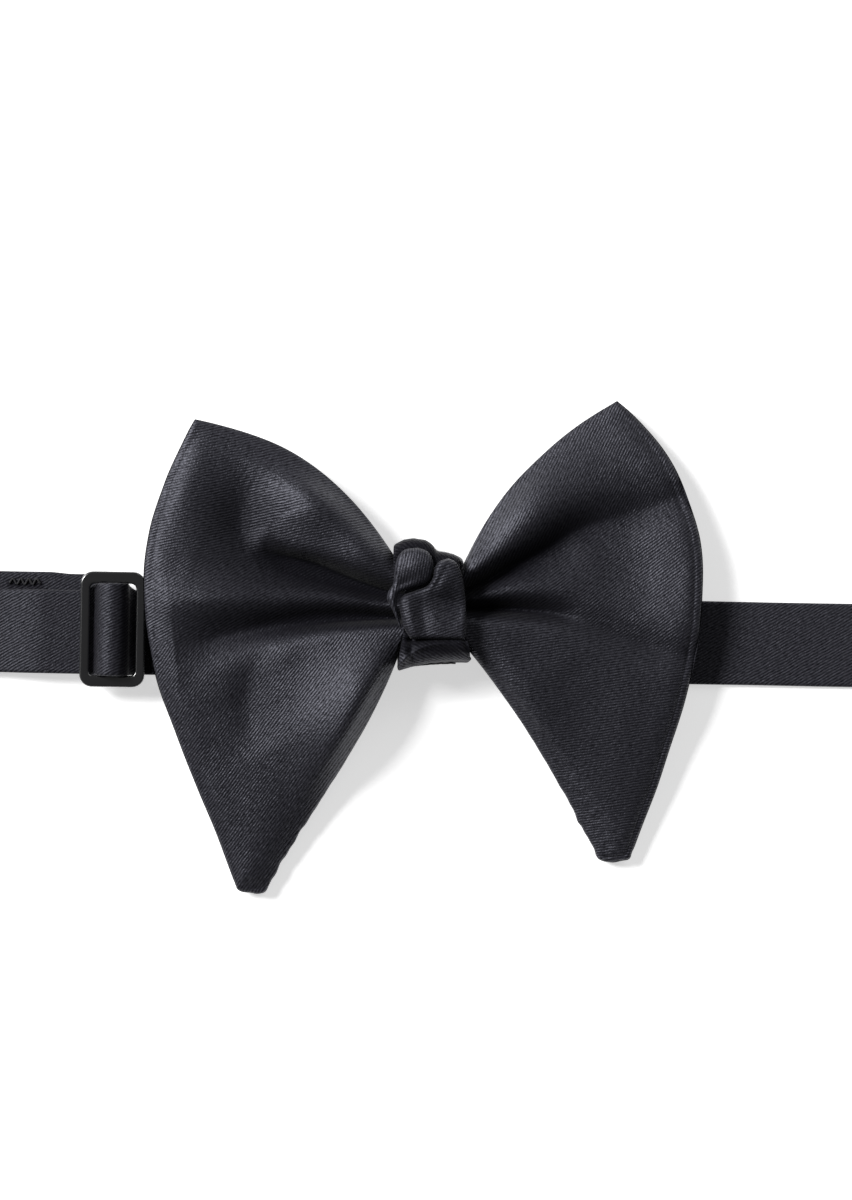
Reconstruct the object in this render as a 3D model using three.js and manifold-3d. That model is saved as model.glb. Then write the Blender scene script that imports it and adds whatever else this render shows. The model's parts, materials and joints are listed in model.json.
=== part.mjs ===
// A large pre-tied satin bow tie on an adjustable neckband, lying face up.
// Millimetres, +Z up. The band runs along X and the origin is on the flat underside of the knot.
// The satin pieces are plain closed solids here; the metal pieces have their real shapes.
import * as THREE from 'three';
import { mergeVertices } from 'three/addons/utils/BufferGeometryUtils.js';
import Module from 'manifold-3d';

const wasm = await Module();
wasm.setup();

// ---------------------------------------------------------------- driving dimensions
const BAND_WIDTH = 20;
const BAND_THICKNESS = 1.2; // two layers of satin with an interlining between them
const SATIN_WALL = 0.3;
const INTERLINING = 0.3;
const LAYER_GAP = 0.2; // between two layers of band that lie on each other
const CLEARANCE = 0.3; // between neighbouring soft pieces

const METAL_THICKNESS = 1.4; // slider sheet
const HARDWARE_THICKNESS = 1.2; // hook and eye sheet
const BAR_WIDTH = 1.8; // every bar that the band folds round
const BAR_RELIEF = 1.3; // inner radius of a fold round a bar

const SLIDER_LENGTH = 15.6;
const SLIDER_RIM = 2.3;
const SLIDER_END_RIM = 2.6;
const SLIDER_SIDE_ROOM = 1.2; // between the band's edges and the ends of the slider's window
const SLIDER_CORNER = 3;
const SLIDER_Y = 0.8; // the slider has slipped this far across the band
const STITCH_ROOM = 0.6; // between the sewn end's tail and the band above it
const SLIDER_BOTTOM = 3 * BAND_THICKNESS + LAYER_GAP + STITCH_ROOM + CLEARANCE; // three layers pass under it
const ANCHOR_REACH = 16; // how far the sewn end comes back from the centre bar
const RUN_LENGTH = 100; // slider bar to hook bar
const FOLD_REACH = 12; // length of each fold's legs

const RIGHT_ARM = 176; // knot to the bar of the eye
const HARDWARE_WIDTH = BAND_WIDTH + 4.8;
const BAND_SLOT = 4.5;
const HOOK_CROSSBAR = 2.2;
const TONGUE_WIDTH = 9;
const TONGUE_LENGTH = 7;
const TONGUE_BEND = 1.4; // centreline radius of the hook's return
const EYE_SLOT_WIDTH = 13;
const EYE_SLOT_LENGTH = 4.6;
const EYE_CROSSBAR = 2;

const KNOT_Y = 7.7; // centre of the knot across the band
const KNOT_LENGTH = 31; // along Y, over the back loop
const KNOT_WIDTH = 16;
const WRAP = 1.2; // thickness of one turn of the knot's wrap
const PINCH_Y = 3; // centre of the band where the knot gathers it
const PINCH_WIDTH = 12.4;
const WAIST_HALF_WIDTH = KNOT_LENGTH / 2 - 8.2;
const WAIST_HALF_HEIGHT = 4.1;
const WAIST_Z = WRAP + LAYER_GAP + BAND_THICKNESS + 3 * CLEARANCE + WAIST_HALF_HEIGHT;
const LOOP_TOP = WAIST_Z + 1.4;
const WAIST_X = KNOT_WIDTH / 2 - 1.8; // where a wing starts inside the knot

const WING_REACH = 62; // from the waist to the outer edge of the left wing
const WING_HEIGHT = 112; // of the left wing, along Y
const PANEL = 0.45; // thickness of a wing panel
const WING_LINING = 0.4;
const LINING_GAP = 0.25;
const RIM_HALF = PANEL + 0.2; // half the height of a wing's sewn rim
const RIM_ROUND = 5; // how far in from the rim a wing has its full loft
const WING_ROWS = 10;
const WING_COLUMNS = 14;

const THREAD = 0.2; // radius of a sewing thread

const SLIDER_X = -(WAIST_X + WING_REACH + SLIDER_LENGTH / 2); // its centre bar, just past the left wing
const HOOK_X = SLIDER_X - RUN_LENGTH;

// ---------------------------------------------------------------- materials
const satin = new THREE.MeshStandardMaterial({ color: 0x24242a, roughness: 0.45, metalness: 0 });
const satinBack = new THREE.MeshStandardMaterial({ color: 0x1e1e24, roughness: 0.6, metalness: 0 });
const lining = new THREE.MeshStandardMaterial({ color: 0xd8d4c8, roughness: 0.9, metalness: 0 });
const thread = new THREE.MeshStandardMaterial({ color: 0x2c2c33, roughness: 0.6, metalness: 0 });
const blackMetal = new THREE.MeshStandardMaterial({ color: 0x101113, roughness: 0.3, metalness: 0.6 });

const bowTie = new THREE.Group();

function add(name, geometry, material) {
  const mesh = new THREE.Mesh(geometry, material);
  mesh.name = name;
  bowTie.add(mesh);
}

// ---------------------------------------------------------------- solid helpers
function toSolid(geometry) {
  const bare = geometry.clone();
  bare.deleteAttribute('normal');
  bare.deleteAttribute('uv');
  const merged = mergeVertices(bare, 1e-4);
  return new wasm.Manifold(
    new wasm.Mesh({
      numProp: 3,
      vertProperties: merged.attributes.position.array,
      triVerts: new Uint32Array(merged.index.array),
    }),
  );
}

function toGeometry(solid) {
  const mesh = solid.getMesh();
  const geometry = new THREE.BufferGeometry();
  geometry.setAttribute('position', new THREE.BufferAttribute(mesh.vertProperties, 3));
  geometry.setIndex(new THREE.BufferAttribute(mesh.triVerts, 1));
  return geometry;
}

// A shape drawn in X and Z, pushed along Y from y0 to y1.
function alongY(shape, y0, y1) {
  const geometry = new THREE.ExtrudeGeometry(shape, { depth: y1 - y0, bevelEnabled: false });
  return geometry.rotateX(Math.PI / 2).translate(0, y1, 0);
}

// A shape drawn in Y and Z, pushed along X from x0 to x1.
function alongX(shape, x0, x1) {
  const geometry = new THREE.ExtrudeGeometry(shape, { depth: x1 - x0, bevelEnabled: false });
  const turn = new THREE.Matrix4().makeBasis(
    new THREE.Vector3(0, 1, 0),
    new THREE.Vector3(0, 0, 1),
    new THREE.Vector3(1, 0, 0),
  );
  return geometry.applyMatrix4(turn).translate(x0, 0, 0);
}

// The outline of a strip of the given thickness whose middle follows a path.
function stripShape(points, thickness) {
  const left = [];
  const right = [];
  points.forEach((point, i) => {
    const before = points[Math.max(i - 1, 0)];
    const after = points[Math.min(i + 1, points.length - 1)];
    const along = after.clone().sub(before).normalize();
    const normal = new THREE.Vector2(-along.y, along.x).multiplyScalar(thickness / 2);
    left.push(point.clone().add(normal));
    right.push(point.clone().sub(normal));
  });
  return new THREE.Shape([...right, ...left.reverse()]);
}

// Path points with neighbours that coincide left out.
function pathPoints(path, divisions) {
  const points = path.getPoints(divisions);
  return points.filter((p, i) => i === 0 || p.distanceTo(points[i - 1]) > 0.01);
}

function roundedRectangle(target, x0, y0, x1, y1, radius) {
  target.moveTo(x0 + radius, y0);
  target.lineTo(x1 - radius, y0);
  target.absarc(x1 - radius, y0 + radius, radius, -Math.PI / 2, 0, false);
  target.lineTo(x1, y1 - radius);
  target.absarc(x1 - radius, y1 - radius, radius, 0, Math.PI / 2, false);
  target.lineTo(x0 + radius, y1);
  target.absarc(x0 + radius, y1 - radius, radius, Math.PI / 2, Math.PI, false);
  target.lineTo(x0, y0 + radius);
  target.absarc(x0 + radius, y0 + radius, radius, Math.PI, 1.5 * Math.PI, false);
  return target;
}

// A flat stamped ring: a rounded plate with rectangular slots, its edges eased.
function stampedPlate(outer, slots, corner, z0, thickness) {
  const ease = 0.2;
  const [x0, y0, x1, y1] = outer;
  const shape = roundedRectangle(
    new THREE.Shape(), x0 + ease, y0 + ease, x1 - ease, y1 - ease, corner - ease,
  );
  for (const [a, b, c, d] of slots) {
    shape.holes.push(roundedRectangle(new THREE.Path(), a - ease, b - ease, c + ease, d + ease, 0.5));
  }
  const geometry = new THREE.ExtrudeGeometry(shape, {
    depth: thickness - 2 * ease,
    bevelThickness: ease,
    bevelSize: ease,
    bevelSegments: 1,
    curveSegments: 3,
  });
  return geometry.translate(0, 0, z0 + ease);
}

// A stitch line: one thread through a list of points.
function threadAlong(points, radius = THREAD) {
  const curve = new THREE.CatmullRomCurve3(points, false, 'catmullrom', 0.4);
  const section = new THREE.Shape();
  section.absarc(0, 0, radius, 0, 2 * Math.PI, false);
  return new THREE.ExtrudeGeometry(section, {
    steps: points.length - 1,
    extrudePath: curve,
    curveSegments: 3,
  });
}

function zigzag(count, place) {
  return Array.from({ length: count }, (_, i) => place(i / (count - 1), i % 2));
}

const smooth = (a, b, x) => THREE.MathUtils.smoothstep(x, a, b);
const mix = THREE.MathUtils.lerp;

// ---------------------------------------------------------------- wings
// Each wing is a patch between four edges: s runs out from the waist, t from the top edge to the
// bottom one. An outline is four cubic curves in a row, from the waist's top round to its bottom.
// Its points are shares of WING_REACH out from the waist and of WING_HEIGHT up from the knot's centre.
const LEFT_WING = {
  sign: -1,
  outline: [
    [0.215, 0.257], [0.424, 0.351], [0.819, 0.387], // top edge
    [1.231, -0.012], [0.868, -0.248], [0.634, -0.61], // outer edge
    [0.616, -0.625], [0.521, -0.624], [0.51, -0.604], // blunt tip
    [0.356, -0.438], [0.102, -0.265], // bottom edge
  ],
  edgeHeight: [4, 7.4, 8, 5, 1.7], // of the outer edge, from the top corner to the tip
  valleys: [0.34, 0.6], // where each fold starts, across the waist
};
const RIGHT_WING = {
  sign: 1,
  outline: [
    [0.134, 0.244], [0.295, 0.338], [0.606, 0.446],
    [1.181, 0.171], [0.882, -0.203], [0.689, -0.522],
    [0.692, -0.543], [0.573, -0.546], [0.558, -0.534],
    [0.415, -0.379], [0.231, -0.207],
  ],
  edgeHeight: [4.5, 6.5, 5.8, 4, 1.7],
  valleys: [0.36, 0.58],
};
const VALLEY_WIDTH = 0.065;
const VALLEY_DEPTH = 2.2;
const TIP_SHARE = 0.93; // the part of the outer edge above the blunt tip

function wingSurface(wing) {
  const waistEnd = (up) => new THREE.Vector2(wing.sign * WAIST_X, KNOT_Y + up * WAIST_HALF_WIDTH);
  const points = wing.outline.map(
    ([out, up]) =>
      new THREE.Vector2(wing.sign * (WAIST_X + out * WING_REACH), KNOT_Y + up * WING_HEIGHT),
  );
  const chain = [waistEnd(1), ...points, waistEnd(-1)];
  const curveFrom = (i) => new THREE.CubicBezierCurve(...chain.slice(i, i + 4));
  const [top, outer, tip] = [0, 3, 6].map(curveFrom);
  const bottom = new THREE.CubicBezierCurve(...chain.slice(9, 13).reverse());
  const heights = new THREE.SplineCurve(
    wing.edgeHeight.map((z, i) => new THREE.Vector2(i / (wing.edgeHeight.length - 1), z)),
  );
  const waistAt = (t) => top.getPoint(0).lerp(bottom.getPoint(0), t);
  const outerAt = (t) =>
    t < TIP_SHARE ? outer.getPoint(t / TIP_SHARE) : tip.getPoint((t - TIP_SHARE) / (1 - TIP_SHARE));

  function place(s, t) {
    const corners = [
      [waistAt(0), (1 - s) * (1 - t)],
      [waistAt(1), (1 - s) * t],
      [outerAt(0), s * (1 - t)],
      [outerAt(1), s * t],
    ];
    const point = waistAt(t).multiplyScalar(1 - s).addScaledVector(outerAt(t), s);
    point.addScaledVector(top.getPoint(s), 1 - t).addScaledVector(bottom.getPoint(s), t);
    corners.forEach(([corner, weight]) => point.addScaledVector(corner, -weight));
    return point;
  }

  // Half the loft of the wing: thin at the sewn rim, full inside.
  function half(s, t) {
    const across = Math.min(t, 1 - t) * top.getPoint(s).distanceTo(bottom.getPoint(s));
    const out = (1 - s) * waistAt(t).distanceTo(outerAt(t));
    const inside = Math.min(Math.min(across, out) / RIM_ROUND, 1);
    const full = mix(WAIST_HALF_HEIGHT, 1.5, Math.pow(s, 0.8));
    return mix(RIM_HALF, full, Math.sqrt(1 - (1 - inside) ** 2));
  }

  const middle = (s, t) => mix(WAIST_Z, heights.getPoint(t).y, smooth(0, 1, s));
  const pleats = (s, t) =>
    wing.valleys.reduce((sum, at) => {
      const off = (t - at) / (VALLEY_WIDTH * (1 + s));
      return sum - VALLEY_DEPTH * Math.pow(1 - s, 1.6) * Math.exp(-(off ** 2));
    }, 0);
  return {
    place,
    front: (s, t) => middle(s, t) + half(s, t) + pleats(s, t),
    back: (s, t) => middle(s, t) - half(s, t),
  };
}

// A closed sheet over part of a wing, between an upper and a lower height. The inset counts
// grid cells left out at the sides and at the outer edge, so that stacked sheets share one grid.
function wingSheet(surface, upper, lower, sideInset = 0, outerInset = 0) {
  const positions = [];
  const rows = WING_ROWS - outerInset + 1;
  const columns = WING_COLUMNS - 2 * sideInset + 1;
  for (const height of [upper, lower]) {
    for (let i = 0; i < rows; i++) {
      const s = Math.sin((i / WING_ROWS) * (Math.PI / 2));
      for (let j = 0; j < columns; j++) {
        const t = 0.5 - 0.5 * Math.cos(((j + sideInset) / WING_COLUMNS) * Math.PI);
        const { x, y } = surface.place(s, t);
        positions.push(x, y, height(s, t));
      }
    }
  }
  const at = (layer, i, j) => layer * rows * columns + i * columns + j;
  const faces = [];
  const quad = (a, b, c, d) => faces.push([a, b, c], [a, c, d]);
  const lastRow = rows - 1;
  const lastColumn = columns - 1;
  for (let i = 0; i < lastRow; i++) {
    for (let j = 0; j < lastColumn; j++) {
      quad(at(0, i, j), at(0, i, j + 1), at(0, i + 1, j + 1), at(0, i + 1, j));
      quad(at(1, i, j), at(1, i + 1, j), at(1, i + 1, j + 1), at(1, i, j + 1));
    }
    quad(at(0, i + 1, 0), at(1, i + 1, 0), at(1, i, 0), at(0, i, 0));
    quad(at(0, i, lastColumn), at(1, i, lastColumn), at(1, i + 1, lastColumn), at(0, i + 1, lastColumn));
  }
  for (let j = 0; j < lastColumn; j++) {
    quad(at(0, 0, j), at(1, 0, j), at(1, 0, j + 1), at(0, 0, j + 1));
    quad(at(0, lastRow, j + 1), at(1, lastRow, j + 1), at(1, lastRow, j), at(0, lastRow, j));
  }
  const mirrored = surface.place(1, 0.5).x > 0;
  const geometry = new THREE.BufferGeometry();
  geometry.setAttribute('position', new THREE.Float32BufferAttribute(positions, 3));
  geometry.setIndex(faces.flatMap(([a, b, c]) => (mirrored ? [a, b, c] : [a, c, b])));
  return geometry;
}

function addWing(side, wing) {
  const surface = wingSurface(wing);
  const { front, back } = surface;
  const liningTop = (s, t) => front(s, t) - PANEL - LINING_GAP;
  add(`${side}_wing_front_panel`, wingSheet(surface, front, (s, t) => front(s, t) - PANEL), satin);
  add(
    `${side}_wing_interlining`,
    wingSheet(surface, liningTop, (s, t) => liningTop(s, t) - WING_LINING, 3, 2),
    lining,
  );
  add(`${side}_wing_back_panel`, wingSheet(surface, (s, t) => back(s, t) + PANEL, back), satinBack);
}

// ---------------------------------------------------------------- waist and knot
function addWaist() {
  const groove = 0.86;
  const profile = [[0, -1], [0.94, -1], [1, -0.6], [groove, -0.3], [groove, 0.3], [1, 0.6], [0.94, 1], [0, 1]];
  const spool = new THREE.LatheGeometry(profile.map(([r, h]) => new THREE.Vector2(r, h)), 28);
  spool.scale(1, WAIST_X - 2 * CLEARANCE, 1).rotateZ(-Math.PI / 2);
  spool.scale(1, WAIST_HALF_WIDTH, WAIST_HALF_HEIGHT).translate(0, KNOT_Y, WAIST_Z);
  add('waist_gather', spool, satinBack);

  const turns = 3;
  const stepsPerTurn = 14;
  const lift = 0.6; // thread centre above the groove
  const winding = Array.from({ length: turns * stepsPerTurn + 1 }, (_, i) => {
    const angle = (i / stepsPerTurn) * 2 * Math.PI;
    return new THREE.Vector3(
      (i / (turns * stepsPerTurn) - 0.5) * 2.2,
      KNOT_Y + (WAIST_HALF_WIDTH * groove + lift) * Math.cos(angle),
      WAIST_Z + (WAIST_HALF_HEIGHT * groove + lift) * Math.sin(angle),
    );
  });
  add('waist_binding_thread', threadAlong(winding), thread);
}

// A soft fold of the knot with round edges. Its outline, seen from the front, is in shares of the
// knot's width and length from the knot's centre.
function softFold(outline, z0, z1, round) {
  const points = outline.map(([x, y]) => new THREE.Vector2(x * KNOT_WIDTH, KNOT_Y + y * KNOT_LENGTH));
  const centre = points.reduce((sum, p) => sum.add(p), new THREE.Vector2());
  centre.divideScalar(points.length);
  const inset = points.map((p) => {
    const away = p.sub(centre);
    return away.setLength(Math.max(away.length() - round, 0.2)).add(centre);
  });
  const closed = new THREE.SplineCurve([...inset, inset[0].clone()]);
  const shape = new THREE.Shape(closed.getPoints(24).slice(0, -1));
  const geometry = new THREE.ExtrudeGeometry(shape, {
    depth: z1 - z0 - 2 * round,
    bevelThickness: round,
    bevelSize: round * 0.9,
    bevelSegments: 2,
  });
  return geometry.translate(0, 0, z0 + round);
}

// A turn of the knot's strip: a path drawn in Y and Z, as wide as x0 to x1.
function knotTurn(name, path, x0, x1) {
  add(name, alongX(stripShape(pathPoints(path, 6), WRAP), x0, x1), satin);
}

function addKnot() {
  const low = KNOT_Y - KNOT_LENGTH / 2 + WRAP / 2;
  const high = KNOT_Y + KNOT_LENGTH / 2 - WRAP / 2;
  const bend = 3;
  const floor = WRAP / 2;
  const loop = new THREE.Path();
  loop.moveTo(low, LOOP_TOP);
  loop.lineTo(low, floor + bend);
  loop.absarc(low + bend, floor + bend, bend, Math.PI, 1.5 * Math.PI, false);
  loop.lineTo(high - bend, floor);
  loop.absarc(high - bend, floor + bend, bend, -Math.PI / 2, 0, false);
  loop.lineTo(high, LOOP_TOP);
  knotTurn('knot_back_loop', loop, -KNOT_WIDTH / 2, KNOT_WIDTH / 2);

  const step = WRAP + CLEARANCE; // from one layer to the next
  const top = WAIST_Z + WAIST_HALF_HEIGHT + 0.8 + WRAP / 2;
  const arch = new THREE.Path();
  arch.moveTo(low + step, LOOP_TOP - 3);
  arch.lineTo(low + step, LOOP_TOP);
  arch.bezierCurveTo(low + step, top, low + step + 1, top, low + step + 4, top);
  arch.lineTo(high - step - 4, top);
  arch.bezierCurveTo(high - step - 1, top, high - step, top, high - step, LOOP_TOP);
  arch.lineTo(high - step, LOOP_TOP - 3);
  const archHalf = KNOT_WIDTH / 2 - WRAP - CLEARANCE;
  knotTurn('knot_inner_turn', arch, -archHalf, archHalf);

  const upper = new THREE.Path();
  upper.moveTo(high, LOOP_TOP + CLEARANCE);
  upper.lineTo(high, top - 1.2);
  upper.absarc(high - 1.2, top - 1.2, 1.2, 0, Math.PI / 2, false);
  knotTurn('knot_top_turn', upper, -0.54 * KNOT_WIDTH, 0.4 * KNOT_WIDTH);

  const lower = new THREE.Path();
  lower.moveTo(low, LOOP_TOP + CLEARANCE);
  lower.lineTo(low, top - 1.6);
  lower.bezierCurveTo(low, top + 0.8, low + 1.4, top + step, low + 3.6, top + step);
  lower.lineTo(low + 6.4, top + step);
  knotTurn('knot_lower_turn', lower, -0.41 * KNOT_WIDTH, 0.56 * KNOT_WIDTH);

  const over = top + WRAP / 2 + CLEARANCE;
  const flap = [
    [-0.29, -0.24], [0.125, -0.24], [0.475, -0.23], [0.5, 0.01], [0.425, 0.235],
    [0.29, 0.4], [0.125, 0.35], [0.05, 0.21], [-0.44, 0.08], [-0.4, -0.09],
  ];
  add('knot_front_flap', softFold(flap, over, over + 3.4, 0.9), satin);
  const lobe = [
    [-0.59, 0.15], [-0.6, 0.315], [-0.475, 0.45], [-0.225, 0.47],
    [-0.025, 0.43], [0, 0.255], [-0.31, 0.16],
  ];
  add('knot_left_lobe', softFold(lobe, over, over + 3, 0.9), satin);
  const sideFold = [
    [-0.66, 0.095], [-0.65, -0.04], [-0.54, -0.15], [-0.475, -0.165], [-0.495, -0.04], [-0.555, 0.095],
  ];
  add('knot_side_fold', softFold(sideFold, over, over + 1.8, 0.5), satin);

  const seamY = KNOT_Y - KNOT_LENGTH / 2 - THREAD - 0.15;
  const seam = zigzag(11, (u, up) => new THREE.Vector3(mix(-6, 6, u), seamY, 4.6 + 1.2 * up));
  add('knot_closing_stitches', threadAlong(seam), thread);
}

// ---------------------------------------------------------------- neckband
const RIGHT_END = RIGHT_ARM - FOLD_REACH - 2;
const LEFT_END = SLIDER_X + 9.5;
const BAND_JOIN = -12; // left of here the band lengthens as the slider moves out

// One length of band: a satin sleeve open at both ends, with an interlining strip in it.
// The profile gives the height of the band's middle along X, and the plan its edges across.
function addBandRun(name, x0, x1, centreZ, edges) {
  const length = x1 - x0;
  const steps = Math.max(6, Math.round(length / 2.4));
  const stations = Array.from({ length: steps + 1 }, (_, i) => x0 + (length * i) / steps);
  const slab = (thickness, inset, extend) => {
    const xs = stations.map((x, i) => x + (i === 0 ? -extend : i === steps ? extend : 0));
    const profile = stripShape(xs.map((x) => new THREE.Vector2(x, centreZ(x))), thickness);
    const solid = toSolid(alongY(profile, -BAND_WIDTH, BAND_WIDTH));
    const plan = new THREE.Shape([
      ...xs.map((x) => new THREE.Vector2(x, edges(x)[0] + inset)),
      ...xs.map((x) => new THREE.Vector2(x, edges(x)[1] - inset)).reverse(),
    ]);
    const prism = new THREE.ExtrudeGeometry(plan, { depth: 12, bevelEnabled: false });
    return solid.intersect(toSolid(prism.translate(0, 0, -3)));
  };
  const sleeve = slab(BAND_THICKNESS, 0, 0)
    .subtract(slab(BAND_THICKNESS - 2 * SATIN_WALL, SATIN_WALL, 0.5));
  add(`${name}_sleeve`, toGeometry(sleeve), satin);
  add(`${name}_interlining`, toGeometry(slab(INTERLINING, SATIN_WALL + 0.3, -0.6)), lining);
}

const LOW = BAND_THICKNESS / 2; // middle of a band that lies on the table
const HALF_BAND = BAND_WIDTH / 2;
const TACK = HALF_BAND - 2; // half the length of a row of bar-tack stitches
const TAIL_Z = LOW + BAND_THICKNESS + LAYER_GAP; // middle of a second layer on the first

function addMainRun() {
  const through = WRAP + LAYER_GAP + BAND_THICKNESS / 2; // over the knot's back loop
  const settle = KNOT_WIDTH / 2 + 24; // here the band lies flat at its full width again
  const height = (x) => mix(through, LOW, smooth(KNOT_WIDTH / 2 + 2, settle, Math.abs(x)));
  const pinch = (x) => 1 - smooth(KNOT_WIDTH / 2 + 1, settle - 4, Math.abs(x));
  const edge = (side, x) => mix(side * HALF_BAND, PINCH_Y + (side * PINCH_WIDTH) / 2, pinch(x));
  const edges = (x) => [edge(-1, x), edge(1, x)];
  addBandRun('neckband_left', LEFT_END, BAND_JOIN - CLEARANCE, height, edges);
  addBandRun('neckband_right', BAND_JOIN, RIGHT_END, height, edges);
}

// Slider with the sewn end of the band round its centre bar, and the band passing over both.
function addSlider() {
  const halfLength = SLIDER_LENGTH / 2;
  const slotEnd = HALF_BAND + SLIDER_SIDE_ROOM;
  const halfWidth = slotEnd + SLIDER_END_RIM;
  const inner = halfLength - SLIDER_RIM;
  const frame = stampedPlate(
    [SLIDER_X - halfLength, -halfWidth, SLIDER_X + halfLength, halfWidth],
    [
      [SLIDER_X - inner, -slotEnd, SLIDER_X - BAR_WIDTH / 2, slotEnd],
      [SLIDER_X + BAR_WIDTH / 2, -slotEnd, SLIDER_X + inner, slotEnd],
    ],
    SLIDER_CORNER,
    SLIDER_BOTTOM,
    METAL_THICKNESS,
  );
  add('slider_frame', frame.translate(0, SLIDER_Y, 0), blackMetal);

  const barZ = SLIDER_BOTTOM + METAL_THICKNESS / 2;
  const wrap = BAR_RELIEF + BAND_THICKNESS / 2;
  const x = SLIDER_X;
  const anchor = new THREE.Path();
  anchor.moveTo(x - ANCHOR_REACH, LOW);
  anchor.lineTo(x - 5.5, LOW);
  anchor.bezierCurveTo(x - 2, LOW, x - 1.5, barZ - wrap, x, barZ - wrap);
  anchor.absarc(x, barZ, wrap, -Math.PI / 2, Math.PI, false);
  anchor.bezierCurveTo(x - wrap, barZ - 1.5, x - 3.5, TAIL_Z, x - 5.8, TAIL_Z);
  anchor.lineTo(x - ANCHOR_REACH + 0.5, TAIL_Z);
  const anchorHalf = HALF_BAND - 0.4;
  add('slider_anchor_loop', alongY(stripShape(pathPoints(anchor, 8), BAND_THICKNESS), -anchorHalf, anchorHalf), satin);

  const over = wrap + BAND_THICKNESS + LAYER_GAP;
  const legZ = SLIDER_BOTTOM - CLEARANCE - BAND_THICKNESS / 2;
  const bight = new THREE.Path();
  bight.moveTo(x + 9.2, LOW);
  bight.bezierCurveTo(x + 7, LOW, x + over, 2.4, x + over, barZ);
  bight.absarc(x, barZ, over, 0, Math.PI, false);
  bight.bezierCurveTo(x - over, barZ - 1, x - over - 0.9, legZ, x - over - 2.6, legZ);
  bight.lineTo(x - ANCHOR_REACH + 0.2, legZ);
  add('slider_band_bight', alongY(stripShape(pathPoints(bight, 8), BAND_THICKNESS), -HALF_BAND, HALF_BAND), satin);

  const tackX = x - ANCHOR_REACH + 4;
  const tackZ = (TAIL_Z + legZ) / 2;
  const tack = zigzag(15, (u, up) => new THREE.Vector3(tackX + 1.6 * up, mix(-TACK, TACK, u), tackZ));
  add('slider_anchor_stitches', threadAlong(tack, 0.14), thread);
}

// The two layers of band between the slider and the hook.
function addOuterRuns() {
  const x0 = HOOK_X + FOLD_REACH + 0.3;
  const x1 = SLIDER_X - ANCHOR_REACH - 0.3;
  const legZ = SLIDER_BOTTOM - CLEARANCE - BAND_THICKNESS / 2;
  const height = (x) => mix(TAIL_Z, legZ, smooth(x1 - 14, x1, x));
  addBandRun('outer_run', x0, x1, height, () => [-HALF_BAND, HALF_BAND]);
  const bow = (x) => 4.3 * Math.sin(Math.PI * Math.min((x - x0) / (x1 - x0), 0.62) * 0.8);
  addBandRun('return_run', x0, x1, () => LOW, (x) => [-HALF_BAND + bow(x), HALF_BAND + bow(x)]);
  const seam = zigzag(7, (u, up) => {
    const y = HALF_BAND + 1 + 1.6 * up;
    return new THREE.Vector3(mix(x1 - 9, x1 - 1.5, u), y, BAND_THICKNESS + THREAD + 0.1);
  });
  add('return_run_seam_thread', threadAlong(seam), thread);
}

// ---------------------------------------------------------------- hook and eye
const BAR_Z = BAND_THICKNESS + BAR_RELIEF; // middle of a bar inside a fold that lies on the table
const FOLD = BAR_RELIEF + BAND_THICKNESS / 2;

// A fold of band round a bar: sign -1 folds round a bar on the left, +1 on the right.
function bandFold(barX, sign) {
  const path = new THREE.Path();
  path.moveTo(barX - sign * FOLD_REACH, TAIL_Z);
  path.lineTo(barX - sign * (FOLD_REACH - 1.5), TAIL_Z);
  path.bezierCurveTo(barX - sign * 6, TAIL_Z, barX - sign * 3.5, BAR_Z + FOLD, barX, BAR_Z + FOLD);
  path.absarc(barX, BAR_Z, FOLD, Math.PI / 2, sign > 0 ? -Math.PI / 2 : 1.5 * Math.PI, sign > 0);
  path.lineTo(barX - sign * FOLD_REACH, LOW);
  const points = pathPoints(path, 8);
  return alongY(stripShape(sign > 0 ? points.reverse() : points, BAND_THICKNESS), -HALF_BAND, HALF_BAND);
}

function addHook() {
  add('hook_end_fold', bandFold(HOOK_X, -1), satin);
  const z0 = BAR_Z - HARDWARE_THICKNESS / 2;
  const slotEnd = HALF_BAND + 0.4;
  const right = HOOK_X + BAR_WIDTH / 2;
  const slotLeft = HOOK_X - BAR_WIDTH / 2 - BAND_SLOT;
  const left = slotLeft - HOOK_CROSSBAR;
  const ring = toSolid(
    stampedPlate(
      [left, -HARDWARE_WIDTH / 2, right, HARDWARE_WIDTH / 2],
      [[slotLeft, -slotEnd, HOOK_X - BAR_WIDTH / 2, slotEnd]],
      1.2,
      z0,
      HARDWARE_THICKNESS,
    ),
  );
  const bendX = left - TONGUE_LENGTH + TONGUE_BEND;
  const tongue = new THREE.Path();
  tongue.moveTo(left + 1, BAR_Z);
  tongue.lineTo(bendX, BAR_Z);
  tongue.absarc(bendX, BAR_Z + TONGUE_BEND, TONGUE_BEND, -Math.PI / 2, -1.5 * Math.PI, true);
  tongue.lineTo(bendX + 3.6, BAR_Z + 2 * TONGUE_BEND);
  tongue.lineTo(bendX + 4.8, BAR_Z + 2 * TONGUE_BEND + 0.4);
  const strip = stripShape(pathPoints(tongue, 8).reverse(), HARDWARE_THICKNESS - 0.2);
  const bent = toSolid(alongY(strip, -TONGUE_WIDTH / 2, TONGUE_WIDTH / 2));
  add('hook', toGeometry(ring.add(bent)), blackMetal);
}

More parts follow.
